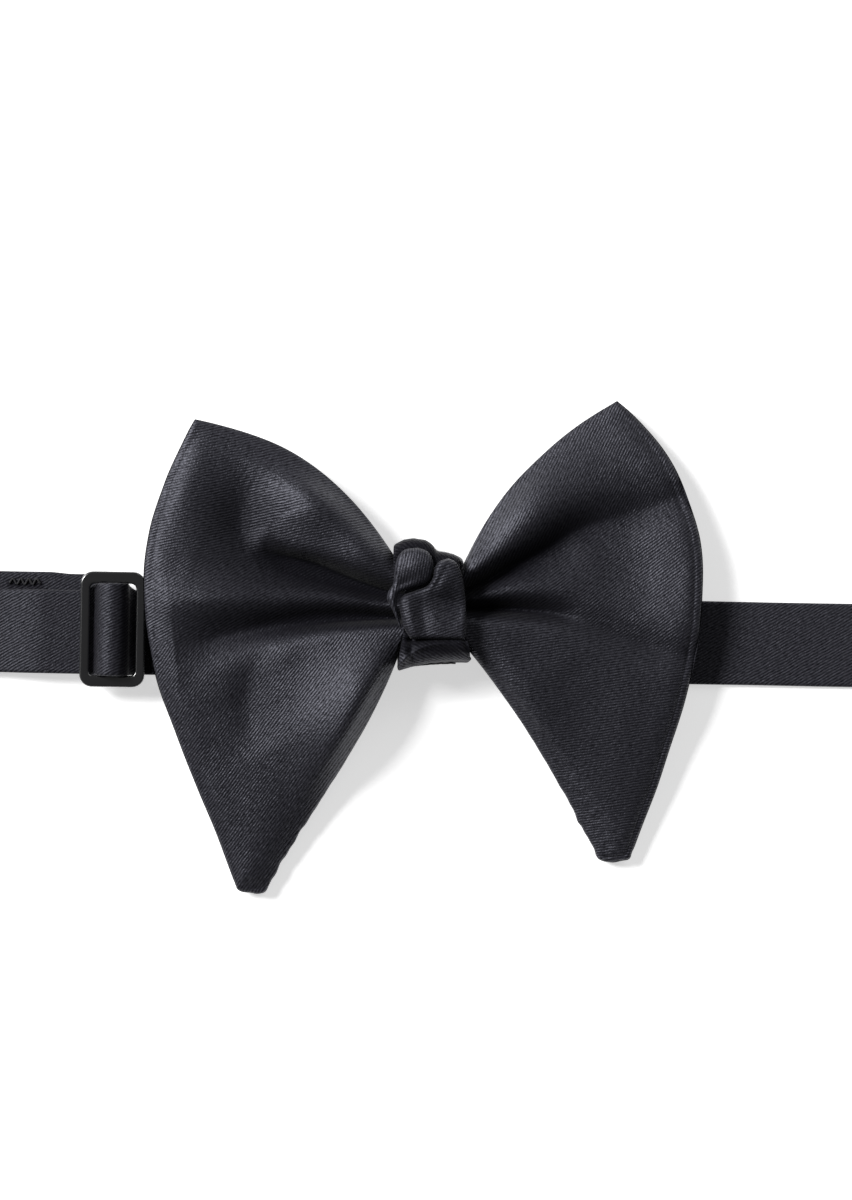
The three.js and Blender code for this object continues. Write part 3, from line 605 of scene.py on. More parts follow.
def wing_heights(wing, s, t):
    """A wing's plan, the height of its middle, the lofts of its front and back, and its folds' depth."""
    plan, from_top, from_bottom, from_rim = wing_plan(wing, s, t)
    heights = spline([(z,) for z in wing["edge_height"]], 200)[:, 0]
    edge = np.interp(t, np.linspace(0, 1, 200), heights)
    middle = mix(WAIST_Z, edge, smooth(0, 1, s))
    full = mix(WAIST_LOFT, RIM_LOFT, s**0.8)
    rim = roll(from_top, 2.4) * roll(from_bottom, 2.2) * roll(from_rim, 1.0)
    swell = 1.0
    clear = 1.0
    for distance, reach in ((from_top, 5), (from_bottom, 4.5), (from_rim, 2.6)):
        swell = swell * (1 - bell(distance, reach))
        clear = clear * (1 - bell(distance, 3))
    near_waist = smooth(0.25, 0, s)
    loft = 0.12 + 1.1 * rim + (full - 1.2) * mix(swell, rim, near_waist)
    front = loft.copy()
    for x, y, height, wide, tall in wing["bulges"]:
        front += clear * height * dome(plan, x, y, wide, tall)
    inside = swell * (1 - near_waist)
    front += inside * (0.22 * wobble(plan, 13, 3) + 0.10 * wobble(plan, 5, 9))
    pucker = np.exp(-from_rim / 1.6) * wobble(plan, 2.6, 5)
    creased = sum(fold_depth(plan, rows) for rows in wing["folds"])
    front -= FOLD_SCALE * creased
    floor = THINNEST - full
    front = floor + np.where(front > floor + 1, front - floor, np.exp(np.minimum(front - floor - 1, 0)))
    seam = wing["seam"] * bell(from_rim - SEAM_INSET, SEAM_WIDTH)
    tip = bell(t - 0.97, 0.05) * s**4
    front += PUCKER * pucker - seam * smooth(0, 0.1, t)
    front += TIP_CRUMPLE * tip * clear * wobble(plan, 2.4, 8)
    pleat = np.cos(2 * math.pi * WAIST_PLEATS * t) * (1 - s) ** 2
    back = loft + 0.5 * pleat * rim + 0.25 * inside * wobble(plan, 14, 21)
    return plan, middle, front, back, creased


def wing_uvs(obj, wing, plan):
    """The twill's three directions on a wing, with each lobe's share of its own."""
    for layer, angle in wing["twill"].items():
        set_uv(obj, np.tile(turned(plan.reshape(-1, 2), angle), (2, 1)), layer)
    set_share(obj, "upper_lobe_share", np.tile(fold_side(wing, plan, 0, 1).ravel(), 2))
    set_share(obj, "lower_lobe_share", np.tile(fold_side(wing, plan, wing["lower_fold"], -1).ravel(), 2))


def fold_side(wing, plan, index, side):
    """1 on one side of a fold, 0 on the other: side 1 is above it and side -1 below."""
    line = spline(wing["folds"][index], 60)
    out = line[:, 0] * wing["sign"]
    order = np.argsort(out)
    height = np.interp(plan[..., 0] * wing["sign"], out[order], line[order, 1])
    return smooth(-2.5, 2.5, side * (plan[..., 1] - height))


def make_wing(side, wing):
    """A wing's front panel, back panel and interlining."""
    flip = wing["sign"] > 0

    def at(rows, columns, s1, t0, t1):
        """A grid of s and t, closer together towards the edges."""
        i = np.sin(np.linspace(0, math.pi / 2, rows)) * s1
        u = np.linspace(0, 1, columns)
        j = t0 + (t1 - t0) * mix(u, 0.5 - 0.5 * np.cos(math.pi * u), 0.7)
        return np.meshgrid(i, j, indexing="ij")

    s, t = at(150, 240, 0.997, 0, 1)
    plan, middle, front, _, creased = wing_heights(wing, s, t)
    top = surface(plan, middle + front)
    front_panel = sheet_between(f"{side}_wing_front", top, surface(plan, middle + front - PANEL), flip)
    wing_uvs(front_panel, wing, plan)
    # painted shade in the wing's folds, darker where a fold is deeper
    set_share(front_panel, "painted_shade", np.tile(np.clip(creased / DARK_DEPTH, 0, 1).ravel(), 2))

    s, t = at(90, 130, 1.0, 0, 1)
    plan, middle, _, back, _ = wing_heights(wing, s, t)
    under = surface(plan, middle - back)
    back_panel = sheet_between(f"{side}_wing_back", surface(plan, middle - back + PANEL), under, flip)
    wing_uvs(back_panel, wing, plan)

    s, t = at(60, 80, 0.955, 0.06, 0.94)
    plan, middle, front, back, _ = wing_heights(wing, s, t)
    level = middle + np.maximum(front - PANEL - 0.75, 0.7 - back + PANEL)
    under = surface(plan, level - LINING)
    lining = sheet_between(f"{side}_wing_lining", surface(plan, level), under, flip)

    for obj, node, slot, area in (
        (front_panel, "front_panel", "satin", wing["panel_area"]),
        (back_panel, "back_panel", "satin_back", wing["panel_area"]),
        (lining, "interlining", "interlining", wing["lining_area"]),
    ):
        finish_piece(obj, f"{side}_wing_{node}", slot, "bow")


make_wing("left", LEFT_WING)
make_wing("right", RIGHT_WING)


# -------- stitches
def zigzag(count, start, end, swing):
    """Points from start to end that step to one side and the other."""
    start, end, swing = (np.array(p, float) for p in (start, end, swing))
    u = np.linspace(0, 1, count)[:, None]
    up = np.where(np.arange(count) % 2, 1.0, -1.0)[:, None] / 2
    return start + (end - start) * u + swing * up


def tack(x, z, width):
    """A zigzag of stitches across the band."""
    return zigzag(15, (x, -8, z), (x, 8, z), (width, 0, 0))


anchor_tack = tube("slider_anchor_tack", tack(SLIDER_X - 12, (SECOND + LEG_Z) / 2, 1.6), 0.14)
finish_piece(anchor_tack, "slider_anchor_stitches", "thread", "slider")
eye_tack_z = SECOND + BAND_THICKNESS / 2 + 0.22
eye_tack = tube("eye_end_tack", tack(EYE_X - FOLD_REACH + 1, eye_tack_z, 1.4), 0.18)
finish_piece(eye_tack, "eye_end_stitches", "thread", "bow")

# The return layer's seam has come open beside the slider, and slip stitches hold it.
seam_y, seam_z = BAND_HALF + 1.9, 1.42
seam_line = zigzag(9, (run_end - 9, seam_y, seam_z), (run_end - 1.5, seam_y, seam_z), (0, 1.3, 0))
seam_thread = tube("return_seam", seam_line, 0.24)
finish_piece(seam_thread, "return_run_seam_thread", "thread")
# painted shade in the open seam: a dark line along the slit between the stitches, over the straps' painted
# shade
along, across, _ = vertices_mm(return_run[0]).T
slit_painted_shade = smooth(run_end - 10, run_end - 9, along) * smooth(run_end - 0.4, run_end - 1.2, along)
slit_painted_shade = slit_painted_shade * bell(across - seam_y + 0.6, 1.1)
set_share(return_run[0], "painted_shade", mix(STRAP_PAINTED_SHADE, 1, slit_painted_shade))

for obj in left_band:
    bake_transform(obj)
for obj in (*outer_run, *return_run, seam_thread):
    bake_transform(obj)
for obj in right_band:
    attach(obj, "bow")


# -------- metal
def rounded_rectangle(low, high, radius):
    (x0, y0), (x1, y1) = low, high
    corners = ((x1 - radius, y1 - radius, 0), (x0 + radius, y1 - radius, 90),
               (x0 + radius, y0 + radius, 180), (x1 - radius, y0 + radius, 270))
    return np.concatenate([arc((x, y), radius, start, start + 90, 7) for x, y, start in corners])


def plate(name, outlines, z0, z1, rounding):
    """A flat plate with holes and rounded edges: the first outline is its edge and the rest are holes."""
    curve = bpy.data.curves.new(name, "CURVE")
    curve.dimensions = "2D"
    curve.fill_mode = "BOTH"
    curve.extrude = ((z1 - z0) / 2 - rounding) * MM
    curve.bevel_depth = rounding * MM
    curve.bevel_resolution = 4
    curve.offset = -rounding * MM
    for points in outlines:
        piece = curve.splines.new("POLY")
        piece.points.add(len(points) - 1)
        for point, (x, y) in zip(piece.points, points):
            point.co = (x * MM, y * MM, 0, 1)
        piece.use_cyclic_u = True
    source = bpy.data.objects.new(name, curve)
    bpy.context.collection.objects.link(source)
    bpy.context.view_layer.update()
    graph = bpy.context.evaluated_depsgraph_get()
    mesh = bpy.data.meshes.new_from_object(source.evaluated_get(graph))
    bpy.data.objects.remove(source)
    for vertex in mesh.vertices:
        vertex.co.z += (z0 + z1) / 2 * MM
    mesh.polygons.foreach_set("use_smooth", [True] * len(mesh.polygons))
    obj = bpy.data.objects.new(name, mesh)
    bpy.context.collection.objects.link(obj)
    return weld(obj)


def weld(obj):
    """Closes the seams between a plate's faces and its rounded edges, and shades its faces flat."""
    bpy.context.view_layer.objects.active = obj
    step = obj.modifiers.new("weld", "WELD")
    step.merge_threshold = 0.01 * MM
    bpy.ops.object.modifier_apply(modifier=step.name)
    step = obj.modifiers.new("normals", "WEIGHTED_NORMAL")
    step.keep_sharp = True
    bpy.ops.object.modifier_apply(modifier=step.name)
    return obj


def join(name, objs):
    bpy.ops.object.select_all(action="DESELECT")
    for obj in objs:
        obj.select_set(True)
    bpy.context.view_layer.objects.active = objs[0]
    bpy.ops.object.join()
    objs[0].name = name
    return objs[0]


BAR = 1.8  # width of the bars that the band goes round
SIDE_BAR = 2.3  # width of the slider's side bars
SLOT = 4.5  # width of the slots for the band in the hook and the eye
RING_WALL = 2.2
PLATE_CORNER = 2.2
slot_end = BAND_HALF + 0.4

window_low, window_high = slider_low[1] + 2.8, slider_high[1] - 2.9
slider = plate(
    "slider",
    [
        rounded_rectangle(slider_low[:2], slider_high[:2], 3.0),
        rounded_rectangle((slider_low[0] + SIDE_BAR, window_low), (SLIDER_X - BAR / 2, window_high), 1.2),
        rounded_rectangle((SLIDER_X + BAR / 2, window_low), (slider_high[0] - SIDE_BAR, window_high), 1.2),
    ],
    slider_low[2], slider_high[2], 0.55,
)
finish_piece(slider, "slider_frame", "black_metal", "slider")

eye_bar = eye_low[0] + BAR
eye = plate(
    "band_eye",
    [
        rounded_rectangle(eye_low[:2], eye_high[:2], PLATE_CORNER),
        rounded_rectangle((eye_bar, -slot_end), (eye_bar + SLOT, slot_end), 0.8),
        rounded_rectangle((eye_bar + 6.5, -6.5), (eye_bar + 11.1, 6.5), 1.6),
    ],
    eye_low[2], eye_high[2], 0.4,
)
finish_piece(eye, "eye", "black_metal", "eye")

hook_bar = hook_high[0] - BAR
ring_left = hook_bar - SLOT - RING_WALL
hook_ring = plate(
    "band_hook",
    [
        rounded_rectangle((ring_left, hook_low[1]), (hook_high[0], hook_high[1]), PLATE_CORNER),
        rounded_rectangle((hook_bar - SLOT, -slot_end), (hook_bar, slot_end), 0.8),
    ],
    BAR_Z - 0.6, BAR_Z + 0.6, 0.4,
)
BEND = 1.4  # radius of the tongue's bend
bend_x = ring_left - 7 + BEND
tongue_line = np.concatenate([
    [(ring_left + 1, BAR_Z), (bend_x, BAR_Z)],
    arc((bend_x, BAR_Z + BEND), BEND, -90, -270)[1:],
    [(bend_x + 3.6, BAR_Z + 2 * BEND), (bend_x + 4.8, BAR_Z + 2 * BEND + 0.4)],
])
tongue_path = resample(tongue_line, 60)
narrowing = 4.5 - 1.3 * smooth(0.8, 1.0, tongue_path[1] / tongue_path[1][-1])
tongue = ribbon("hook_tongue", tongue_path, (-narrowing, narrowing), 1.0, ripple=0)
hook = join("band_hook", [hook_ring, tongue])
finish_piece(hook, "hook", "black_metal", "hook")


# -------- knot
def outline_distance(points, outline):
    """How far each point is from the nearest side of a closed outline."""
    flat = points.reshape(-1, 2)
    a, b = outline, np.roll(outline, -1, 0)
    along = b - a
    u = ((flat[:, None] - a) * along).sum(-1) / np.maximum((along**2).sum(-1), 1e-9)
    near = a + np.clip(u, 0, 1)[..., None] * along
    return np.linalg.norm(flat[:, None] - near, axis=-1).min(1).reshape(points.shape[:-1])


def soft_fold(name, left, right, base, height, edge, twill, shape):
    """Folded cloth with rolled edges, seen from the front. It spans from a left side to a right side."""
    rows, columns = 120, 70
    ease = 0.5 - 0.5 * np.cos(np.linspace(0, math.pi, columns))
    along = np.linspace(0, 1, rows) * 0.6 + 0.4 * (0.5 - 0.5 * np.cos(np.linspace(0, math.pi, rows)))
    sides = [spline(side, 240) for side in (left, right)]
    at = np.linspace(0, 1, 240)
    a, b = (np.stack([np.interp(along, at, side[:, k]) for k in (0, 1)], -1) for side in sides)
    xy = a[:, None] + (b - a)[:, None] * ease[:, None]
    loop = np.concatenate([a, b[::-1]])
    depth = roll(outline_distance(xy, loop), edge)
    top = surface(xy, base + (height + shape(xy)) * depth)
    obj = sheet_between(name, top, surface(xy, base - 0.3 * depth), flip=True)
    set_uv(obj, turned(np.tile(xy.reshape(-1, 2), (2, 1)), twill))
    return obj


FLAP_HEM = [(-5.4, 8.8, 0.5, 1.7), (-5.0, 6, 0.9, 1.7), (-4.2, 3, 0.8, 1.6), (-3.4, 0.8, 0.3, 1.4)]
FLAP_GROOVE = [(-3.2, 9.4, 0.1, 1.8), (-2.4, 7, 0.6, 1.8), (-1.8, 4, 0.6, 1.8), (-1.0, 0.8, 0.2, 1.6)]
FLAP_HOLLOW = [(-1, 10.4, 0.2, 2, 2), (3, 9.2, 1.1, 2.4, 3.4), (7, 8, 1.0, 3, 3.6), (9, 7, 0.3, 3, 3)]
FLAP_CREASE = [(1.0, 12.6, 0.4, 0.9), (2.6, 15.5, 0.3, 0.9), (3.6, 18.0, 0.1, 0.9)]
LOBE_CREASE = [(-7.6, 12.4, 0.5, 0.9), (-5.5, 13.4, 0.4, 1.2), (-3, 14.5, 0, 1.5)]


def flap_shape(xy):
    """The flap is full at the top, and has a raised hem down its left side."""
    height = 1.2 * dome(xy, 2.4, 14.5, 3.5, 4) + 0.3 * dome(xy, 2, 3, 6, 3.4) + fold_depth(xy, FLAP_HEM)
    for rows in (FLAP_GROOVE, FLAP_HOLLOW, FLAP_CREASE):
        height = height - fold_depth(xy, rows)
    return height


def lobe_shape(xy):
    return 1.5 * dome(xy, -4.0, 17, 4, 3.6) + 0.3 * dome(xy, -9.2, 8.8, 2, 3) - fold_depth(xy, LOBE_CREASE)


FLAP_LEFT = [
    (3.6, 19.0), (1.6, 18.3), (0.4, 16.5), (0.1, 14.4), (-1.2, 12.4), (-4, 11.2),
    (-6.5, 10.2), (-7.6, 8.6), (-7.3, 5.6), (-6.4, 2.4), (-4.8, -0.1),
]
FLAP_RIGHT = [
    (3.9, 19.0), (5.6, 18.1), (6.7, 16), (7.5, 12.8), (8.0, 9), (8.2, 6),
    (8.3, 3.4), (8.2, 1.5), (7.9, -0.1),
]
LOBE_LEFT = [
    (-3.8, 21.4), (-6.6, 20.9), (-8.2, 19.2), (-9.0, 16.4), (-9.1, 13.2),
    (-10.3, 10.9), (-10.6, 9.2), (-9.7, 7.5), (-8.6, 5.2), (-7.1, 1.7),
]
LOBE_RIGHT = [
    (-3.4, 21.4), (-1.2, 20.6), (0.0, 18.8), (0.3, 17), (0.0, 15), (-1.5, 13.1),
    (-4.7, 12.0), (-7.4, 11.0), (-8.2, 9.0), (-7.9, 6), (-6.9, 1.8),
]
FRONT_Z = 14.3  # underside of the knot's front folds

flap = soft_fold("knot_flap", FLAP_LEFT, FLAP_RIGHT, FRONT_Z, 1.5, 1.1, 20, flap_shape)
flap_at = vertices_mm(flap)
# painted shade: the flap is darkened a little all over and more in its hollow
set_share(flap, "painted_shade", 0.22 + 0.4 * dome(flap_at, 4.5, 9, 3.6, 3.4) * smooth(-5, -2, flap_at[:, 0]))
finish_piece(flap, "knot_front_flap", "satin", "bow")
lobe = soft_fold("knot_lobe", LOBE_LEFT, LOBE_RIGHT, FRONT_Z, 1.2, 1.2, 80, lobe_shape)
finish_piece(lobe, ["knot_left_lobe", "knot_side_fold"], "satin", "bow")

LOW_Y = loop_low[1] + 0.6
HIGH_Y = loop_high[1] - 0.6
# The strip's Y and Z, from under the flap over the lower end, behind the band and over the top end.
wrap_line = spline([
    (2.2, 13.35), (0, 13.4), (-1.6, 13.9), (-3.4, 14.5), (-5.6, 14.0), (-7.0, 12.6),
    (LOW_Y, 11), (LOW_Y + 0.2, 9.4), (LOW_Y + 0.6, 7), (LOW_Y + 0.6, 3.4), (LOW_Y + 1.4, 1.3),
    (LOW_Y + 3.4, LOW), (4, LOW), (12, LOW), (HIGH_Y - 3.2, LOW), (HIGH_Y - 0.9, 1.3),
    (HIGH_Y, 3.4), (HIGH_Y, 7), (HIGH_Y, 10.2), (HIGH_Y - 0.3, 12.2), (HIGH_Y - 1.3, 13.3),
    (HIGH_Y - 3.2, 13.5), (HIGH_Y - 6, 13.4),
], 400)
wrap_path = resample(wrap_line, 220)
share = wrap_path[1] / wrap_path[1][-1]
steps = [0, 0.1, 0.22, 0.35, 0.7, 0.85, 1]
wrap_low = np.interp(share, steps, [-6.5, -7.4, -7.9, -8, -8, -9.2, -9.3])
wrap_high = np.interp(share, steps, [7.2, 9.2, 9.6, 8, 8, 6.4, 6.2])
wrap = ribbon("knot_wrap", wrap_path, (wrap_low, wrap_high), 1.0, plane="yz", twill=55, ripple=0.2)


# How far the top edge is from square: X, and the step in Y there.
TOP_EDGE = [
    (-10.5, -1.7), (-6.9, 0.2), (-4.7, 0.6), (-1.6, 0.2), (0, -0.9),
    (1.0, -2.4), (3.2, -2.6), (5.1, -3.1), (6.8, -3.9),
]


def lean_wrap(obj):
    """Tilts the lower roll and the top edge, which aren't square to the knot, and creases the roll."""
    points = vertices_mm(obj)
    x, y, z = points.T
    lower = (1 - smooth(-4, 4, y)) * (0.5 + 0.5 * smooth(5, 11, z))
    upper = smooth(12, 20, y)
    top_edge = np.interp(x, *zip(*TOP_EDGE))
    front = smooth(10.5, 13, z) * (1 - smooth(-1.2, 0.6, y))
    arch = y + 3.4 + 0.04 * (x - 1) ** 2
    dents = 1.1 * bell(y + 0.9, 1.3) - 0.5 * bell(arch, 0.5)
    dents = dents + 0.7 * bell(x + 4.6, 0.6) - 0.5 * bell(x + 6.2, 0.7)
    dents = dents + 0.7 * bell(x - 7.2 + 0.3 * y, 0.6)
    points[:, 1] += lower * (2.0 + 0.15 * x - 0.012 * (x - 1) ** 2) + upper * top_edge
    points[:, 2] -= front * dents
    obj.data.vertices.foreach_set("co", (points * MM).astype(np.float32).ravel())
    obj.data.update()


lean_wrap(wrap)
_, y, z = vertices_mm(wrap).T
# painted shadow on the lower roll just under the flap, over a little painted shade on the whole strip
painted_shadow_under_flap = smooth(-4.4, -2.5, y) * smooth(10.5, 12, z)
set_share(wrap, "painted_shade", 0.2 + 0.75 * painted_shadow_under_flap)
finish_piece(wrap, ["knot_back_loop", "knot_top_turn", "knot_lower_turn"], "satin", "bow")

inner_line = spline([
    (LOW_Y + 1.5, 6), (LOW_Y + 1.5, 9), (LOW_Y + 2.1, 11.3), (LOW_Y + 5, 12.2), (7.7, 12.3),
    (HIGH_Y - 5, 12.2), (HIGH_Y - 2.1, 11.3), (HIGH_Y - 1.5, 9), (HIGH_Y - 1.5, 6),
], 200)
inner = ribbon("knot_inner", resample(inner_line, 100), (-6.5, 6.5), 0.9, plane="yz", twill=55, ripple=0)
lean_wrap(inner)
finish_piece(inner, "knot_inner_turn", "satin", "bow")

closing_y = LOW_Y + 0.02
closing = tube("knot_closing", zigzag(11, (-6, closing_y, 5.2), (6, closing_y, 5.2), (0, 0, 1.4)), 0.2)
lean_wrap(closing)
finish_piece(closing, "knot_closing_stitches", "thread", "bow")


def waist_mesh():
    """The wings' middles drawn together in pleats."""
    rows, columns, pleats = 60, 160, 11
    angles = np.linspace(0, 2 * math.pi, columns, endpoint=False)
    x, angle = np.meshgrid(np.linspace(-5.6, 5.6, rows), angles, indexing="ij")
    pleat = 0.025 * np.cos(pleats * angle) * (0.4 + smooth(0, 5, np.abs(x)))
    drawn = 0.84 + 0.12 * smooth(0.5, 5, np.abs(x)) + pleat
    y = KNOT_Y + WAIST_HALF_WIDTH * drawn * np.cos(angle)
    z = WAIST_Z + WAIST_LOFT * drawn * np.sin(angle)
    faces = grid_faces(rows, columns, wrap=True, flip=True)
    faces.append(list(range(columns)))
    faces.append([(rows - 1) * columns + j for j in range(columns)][::-1])
    obj = new_object("waist", np.stack([x, y, z], -1).reshape(-1, 3), faces)
    set_uv(obj, turned(np.stack([x, angle * 5.5], -1).reshape(-1, 2), 30))
    return obj


finish_piece(waist_mesh(), "waist_gather", "satin", "bow")
BOUND = 0.89  # share of the waist's size that the thread leaves it
THREAD_OUT = 0.35
full_turns = 6 * math.pi
turns = np.linspace(0, full_turns, 43)
winding = np.stack([
    (turns / full_turns - 0.5) * 2.2,
    KNOT_Y + (WAIST_HALF_WIDTH * BOUND + THREAD_OUT) * np.cos(turns),
    WAIST_Z + (WAIST_LOFT * BOUND + THREAD_OUT) * np.sin(turns),
], -1)
binding = tube("waist_thread", winding, 0.2, samples=260)
finish_piece(binding, "waist_binding_thread", "thread", "bow")


# -------- materials
class Nodes:
    """Short ways to add and join shader nodes."""

    def __init__(self, name):
        self.material = bpy.data.materials.new(name)
        self.material.use_nodes = True
        self.tree = self.material.node_tree
        self.shader = self.tree.nodes["Principled BSDF"]

    def add(self, kind, **settings):
        node = self.tree.nodes.new(kind)
        for key, value in settings.items():
            setattr(node, key, value)
        return node

    def put(self, socket, value):
        if isinstance(value, bpy.types.NodeSocket):
            self.tree.links.new(value, socket)
        else:
            socket.default_value = value

    def math(self, operation, a, b=0.0, c=0.0):
        node = self.add("ShaderNodeMath", operation=operation)
        for socket, value in zip(node.inputs, (a, b, c)):
            self.put(socket, value)
        return node.outputs[0]

    def shade(self, name, value):
        self.put(self.shader.inputs[name], value)

    def place(self):
        return self.add("ShaderNodeTexCoord").outputs["Object"]

    def cloth(self, layer):
        """The place on the cloth by one UV layer, and how far across the ribs it is."""
        uv = self.add("ShaderNodeUVMap", uv_map=layer).outputs[0]
        parts = self.add("ShaderNodeSeparateXYZ")
        self.put(parts.inputs[0], uv)
        return uv, parts.outputs[0]

    def attribute(self, name):
        return self.add("ShaderNodeAttribute", attribute_name=name).outputs["Fac"]

    def blend(self, share, a, b):
        return self.math("MULTIPLY_ADD", share, self.math("SUBTRACT", b, a), a)

    def noise(self, vector, scale, detail=3.0):
        node = self.add("ShaderNodeTexNoise")
        node.inputs["Scale"].default_value = scale
        node.inputs["Detail"].default_value = detail
        self.put(node.inputs["Vector"], vector)
        return node.outputs["Fac"]

    def stretch(self, vector, scale):
        node = self.add("ShaderNodeMapping")
        node.inputs["Scale"].default_value = scale
        self.put(node.inputs["Vector"], vector)
        return node.outputs["Vector"]

    def ramp(self, value, low, high):
        node = self.add("ShaderNodeMapRange")
        node.inputs["To Min"].default_value = low
        node.inputs["To Max"].default_value = high
        self.put(node.inputs["Value"], value)
        return node.outputs["Result"]

    def tint(self, value, low, high):
        node = self.add("ShaderNodeMix", data_type="RGBA")
        self.put(node.inputs[0], value)
        self.put(node.inputs[6], (*low, 1))
        self.put(node.inputs[7], (*high, 1))
        self.shade("Base Color", node.outputs[2])

    def bump(self, height, distance):
        node = self.add("ShaderNodeBump")
        node.inputs["Distance"].default_value = distance
        self.put(node.inputs["Height"], height)
        self.shade("Normal", node.outputs[0])


RIB_PITCH = 0.00063
THREAD_PITCH = 0.00025
SATIN_DARK = (0.004, 0.0038, 0.0055)
SATIN_LIGHT = (0.013, 0.0124, 0.0172)


def ribs(nodes, layer):
    """Height of the twill's ribs, and of the streaks that run along them, for one UV layer."""
    uv, across = nodes.cloth(layer)
    drift = nodes.math("MULTIPLY", nodes.noise(uv, 240, 2), 5.0)
    phase = nodes.math("MULTIPLY_ADD", across, 2 * math.pi / RIB_PITCH, drift)
    streak = nodes.noise(nodes.stretch(uv, (2400, 900, 1)), 1.0, 2)
    return nodes.math("SINE", phase), streak


def satin_material(name, roughness, sheen, layers=("cloth",)):
    """Ribbed satin, with a direction of ribs for each UV layer. A vertex share of painted shade darkens
    its colour and takes its shine away.
    """
    nodes = Nodes(name)
    rib, streak = ribs(nodes, layers[0])
    for layer in layers[1:]:
        next_rib, next_streak = ribs(nodes, layer)
        share = nodes.attribute(f"{layer}_share")
        rib = nodes.blend(share, rib, next_rib)
        streak = nodes.blend(share, streak, next_streak)
    place = nodes.place()
    cloudy = nodes.noise(place, 60, 3)
    slub = nodes.noise(place, 2200, 1)
    # painted shade: the share darkens the colour and lowers the shine
    painted_shade_factor = nodes.math("SUBTRACT", 1.0, nodes.math("MULTIPLY", nodes.attribute("painted_shade"), 0.85))
    weave = nodes.ramp(nodes.math("MULTIPLY_ADD", rib, 0.3, streak), 0.0, 1.0)
    nodes.tint(nodes.math("MULTIPLY", weave, painted_shade_factor), SATIN_DARK, SATIN_LIGHT)
    glint = nodes.ramp(nodes.math("MULTIPLY_ADD", rib, 0.2, streak), -0.1, 1.25)
    nodes.shade("Specular IOR Level", nodes.math("MULTIPLY", painted_shade_factor, glint))
    uneven = nodes.math("MULTIPLY_ADD", cloudy, 0.12, roughness - 0.06)
    nodes.shade("Roughness", nodes.math("MULTIPLY_ADD", streak, 0.1, uneven))
    nodes.shader.inputs["Specular Tint"].default_value = (0.85, 0.86, 1.0, 1)
    nodes.shader.inputs["Sheen Weight"].default_value = sheen
    nodes.shader.inputs["Sheen Roughness"].default_value = 0.4
    broken = nodes.math("MULTIPLY", rib, nodes.math("MULTIPLY", slub, 1.1))
    height = nodes.math("ADD", broken, nodes.math("MULTIPLY", streak, 1.2))
    nodes.bump(nodes.math("MULTIPLY_ADD", slub, 2.0, height), 0.000048)
    return nodes.material


def metal_material():
    """Black enamel, rubbed a little on its edges."""
    nodes = Nodes("black_enamel")
    place = nodes.place()
    edge = nodes.add("ShaderNodeNewGeometry").outputs["Pointiness"]
    grain = nodes.noise(place, 1500, 4)
    on_edge = nodes.math("GREATER_THAN", edge, 0.56)
    rubbed = nodes.math("MULTIPLY", on_edge, nodes.math("GREATER_THAN", grain, 0.6))
    nodes.tint(rubbed, (0.005, 0.005, 0.006), (0.03, 0.03, 0.032))
    nodes.shade("Roughness", nodes.math("MULTIPLY_ADD", nodes.noise(place, 220, 4), 0.14, 0.1))
    nodes.shader.inputs["Coat Weight"].default_value = 1.0
    nodes.shader.inputs["Coat IOR"].default_value = 1.9
    nodes.shader.inputs["Coat Roughness"].default_value = 0.22
    nodes.bump(nodes.noise(place, 700, 3), 0.00002)
    return nodes.material


def thread_material():
    nodes = Nodes("thread")
    _, across = nodes.cloth("cloth")
    twist = nodes.math("SINE", nodes.math("MULTIPLY", across, 2 * math.pi / THREAD_PITCH))
    nodes.tint(nodes.ramp(twist, 0.0, 1.0), (0.008, 0.008, 0.01), (0.022, 0.021, 0.026))
    nodes.shade("Roughness", 0.6)
    nodes.bump(twist, 0.00003)
    return nodes.material


def lining_material():
    nodes = Nodes("interlining_felt")
    place = nodes.place()
    fibre = nodes.noise(nodes.stretch(place, (1, 4, 1)), 800, 4)
    nodes.tint(fibre, (0.05, 0.05, 0.052), (0.12, 0.118, 0.115))
    nodes.shade("Roughness", 0.9)
    nodes.bump(fibre, 0.00008)
    return nodes.material


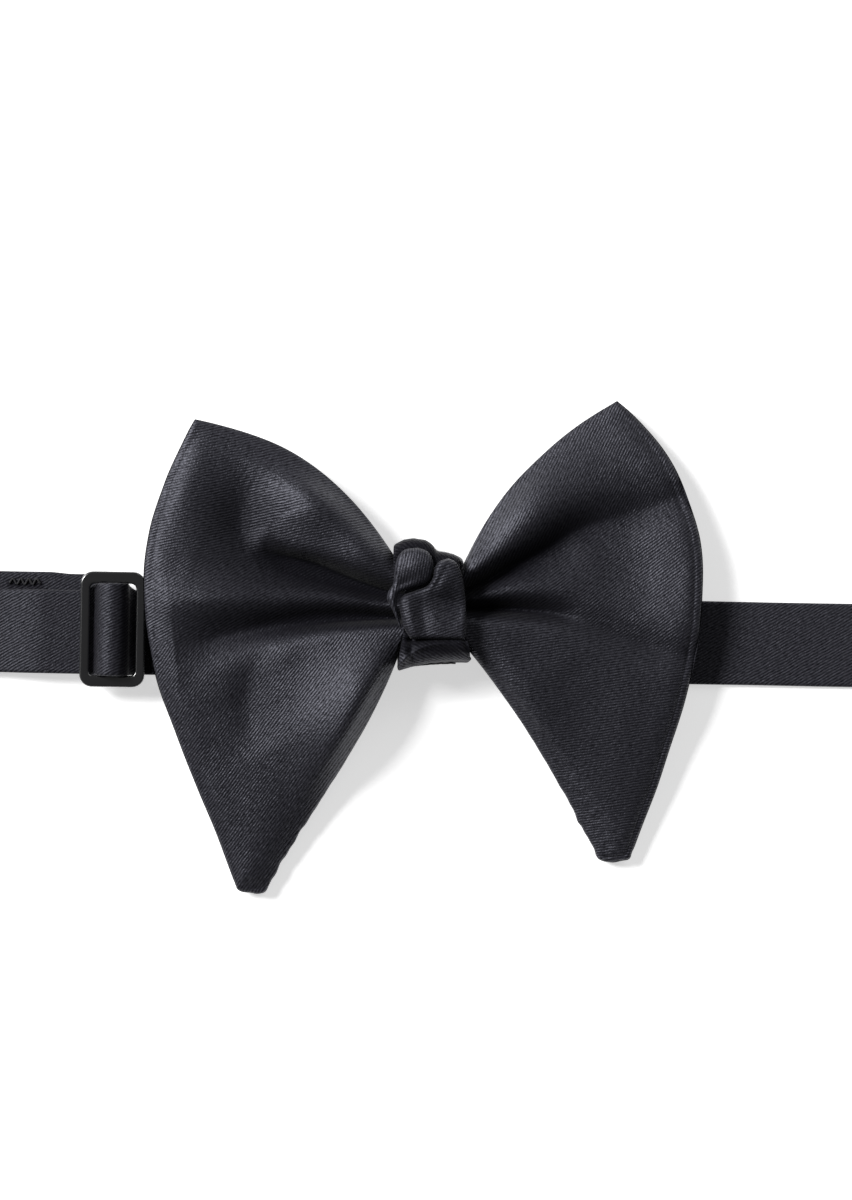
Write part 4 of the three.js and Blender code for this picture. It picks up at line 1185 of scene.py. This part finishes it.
LAYERS = tuple(LEFT_WING["twill"])
wing_satin = satin_material("wing_satin", 0.47, 0.08, LAYERS)
band_satin = satin_material("band_satin", 0.5, 0.08)
back_satin = satin_material("back_satin", 0.5, 0.1, LAYERS)
by_slot = {
    "satin": band_satin,
    "thread": thread_material(),
    "interlining": lining_material(),
    "black_metal": metal_material(),
}
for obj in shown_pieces():
    if "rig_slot" in obj:
        obj.data.materials.clear()
        wing = "wing" in obj.name and "lining" not in obj.name
        chosen = (wing_satin if "front" in obj.name else back_satin) if wing else by_slot[obj["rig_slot"]]
        obj.data.materials.append(chosen)


# -------- light, floor and camera
def area_light(name, place, size, power):
    data = bpy.data.lights.new(name, "AREA")
    data.size = size
    data.energy = power
    obj = bpy.data.objects.new(name, data)
    obj.location = place
    obj.rotation_euler = (Vector((0, 0, 0)) - Vector(place)).to_track_quat("-Z", "Y").to_euler()
    bpy.context.collection.objects.link(obj)


def floor_material():
    nodes = Nodes("pale_floor")
    place = nodes.place()
    nodes.tint(nodes.noise(place, 30, 3), (0.93, 0.93, 0.93), (0.95, 0.95, 0.95))
    nodes.shade("Roughness", 0.8)
    nodes.shade("Emission Color", (1, 1, 1, 1))
    nodes.shade("Emission Strength", 0.55)
    return nodes.material


bpy.ops.mesh.primitive_plane_add(size=8, location=(0, 0, -0.0003))
floor = bpy.context.object
floor.name = "floor"
floor.data.materials.append(floor_material())

area_light("key", place=(-4.0, 2.2, 3.4), size=2.0, power=440)
area_light("fill", place=(1.4, 1.8, 1.5), size=1.6, power=12)
world = bpy.data.worlds.new("studio")
bpy.context.scene.world = world
world.use_nodes = True
world.node_tree.nodes["Background"].inputs["Color"].default_value = (1, 1, 1, 1)
world.node_tree.nodes["Background"].inputs["Strength"].default_value = 0.1
bpy.context.scene.view_settings.view_transform = "Standard"

camera_data = bpy.data.cameras.new("camera")
camera_data.lens = 112.5
camera_data.sensor_width = 36
camera_data.clip_start = 0.01
camera = bpy.data.objects.new("camera", camera_data)
camera.location = (-0.00136, 0.0091, 0.9)
camera.rotation_euler = (0, 0, math.radians(1))
bpy.context.collection.objects.link(camera)
bpy.context.scene.camera = camera
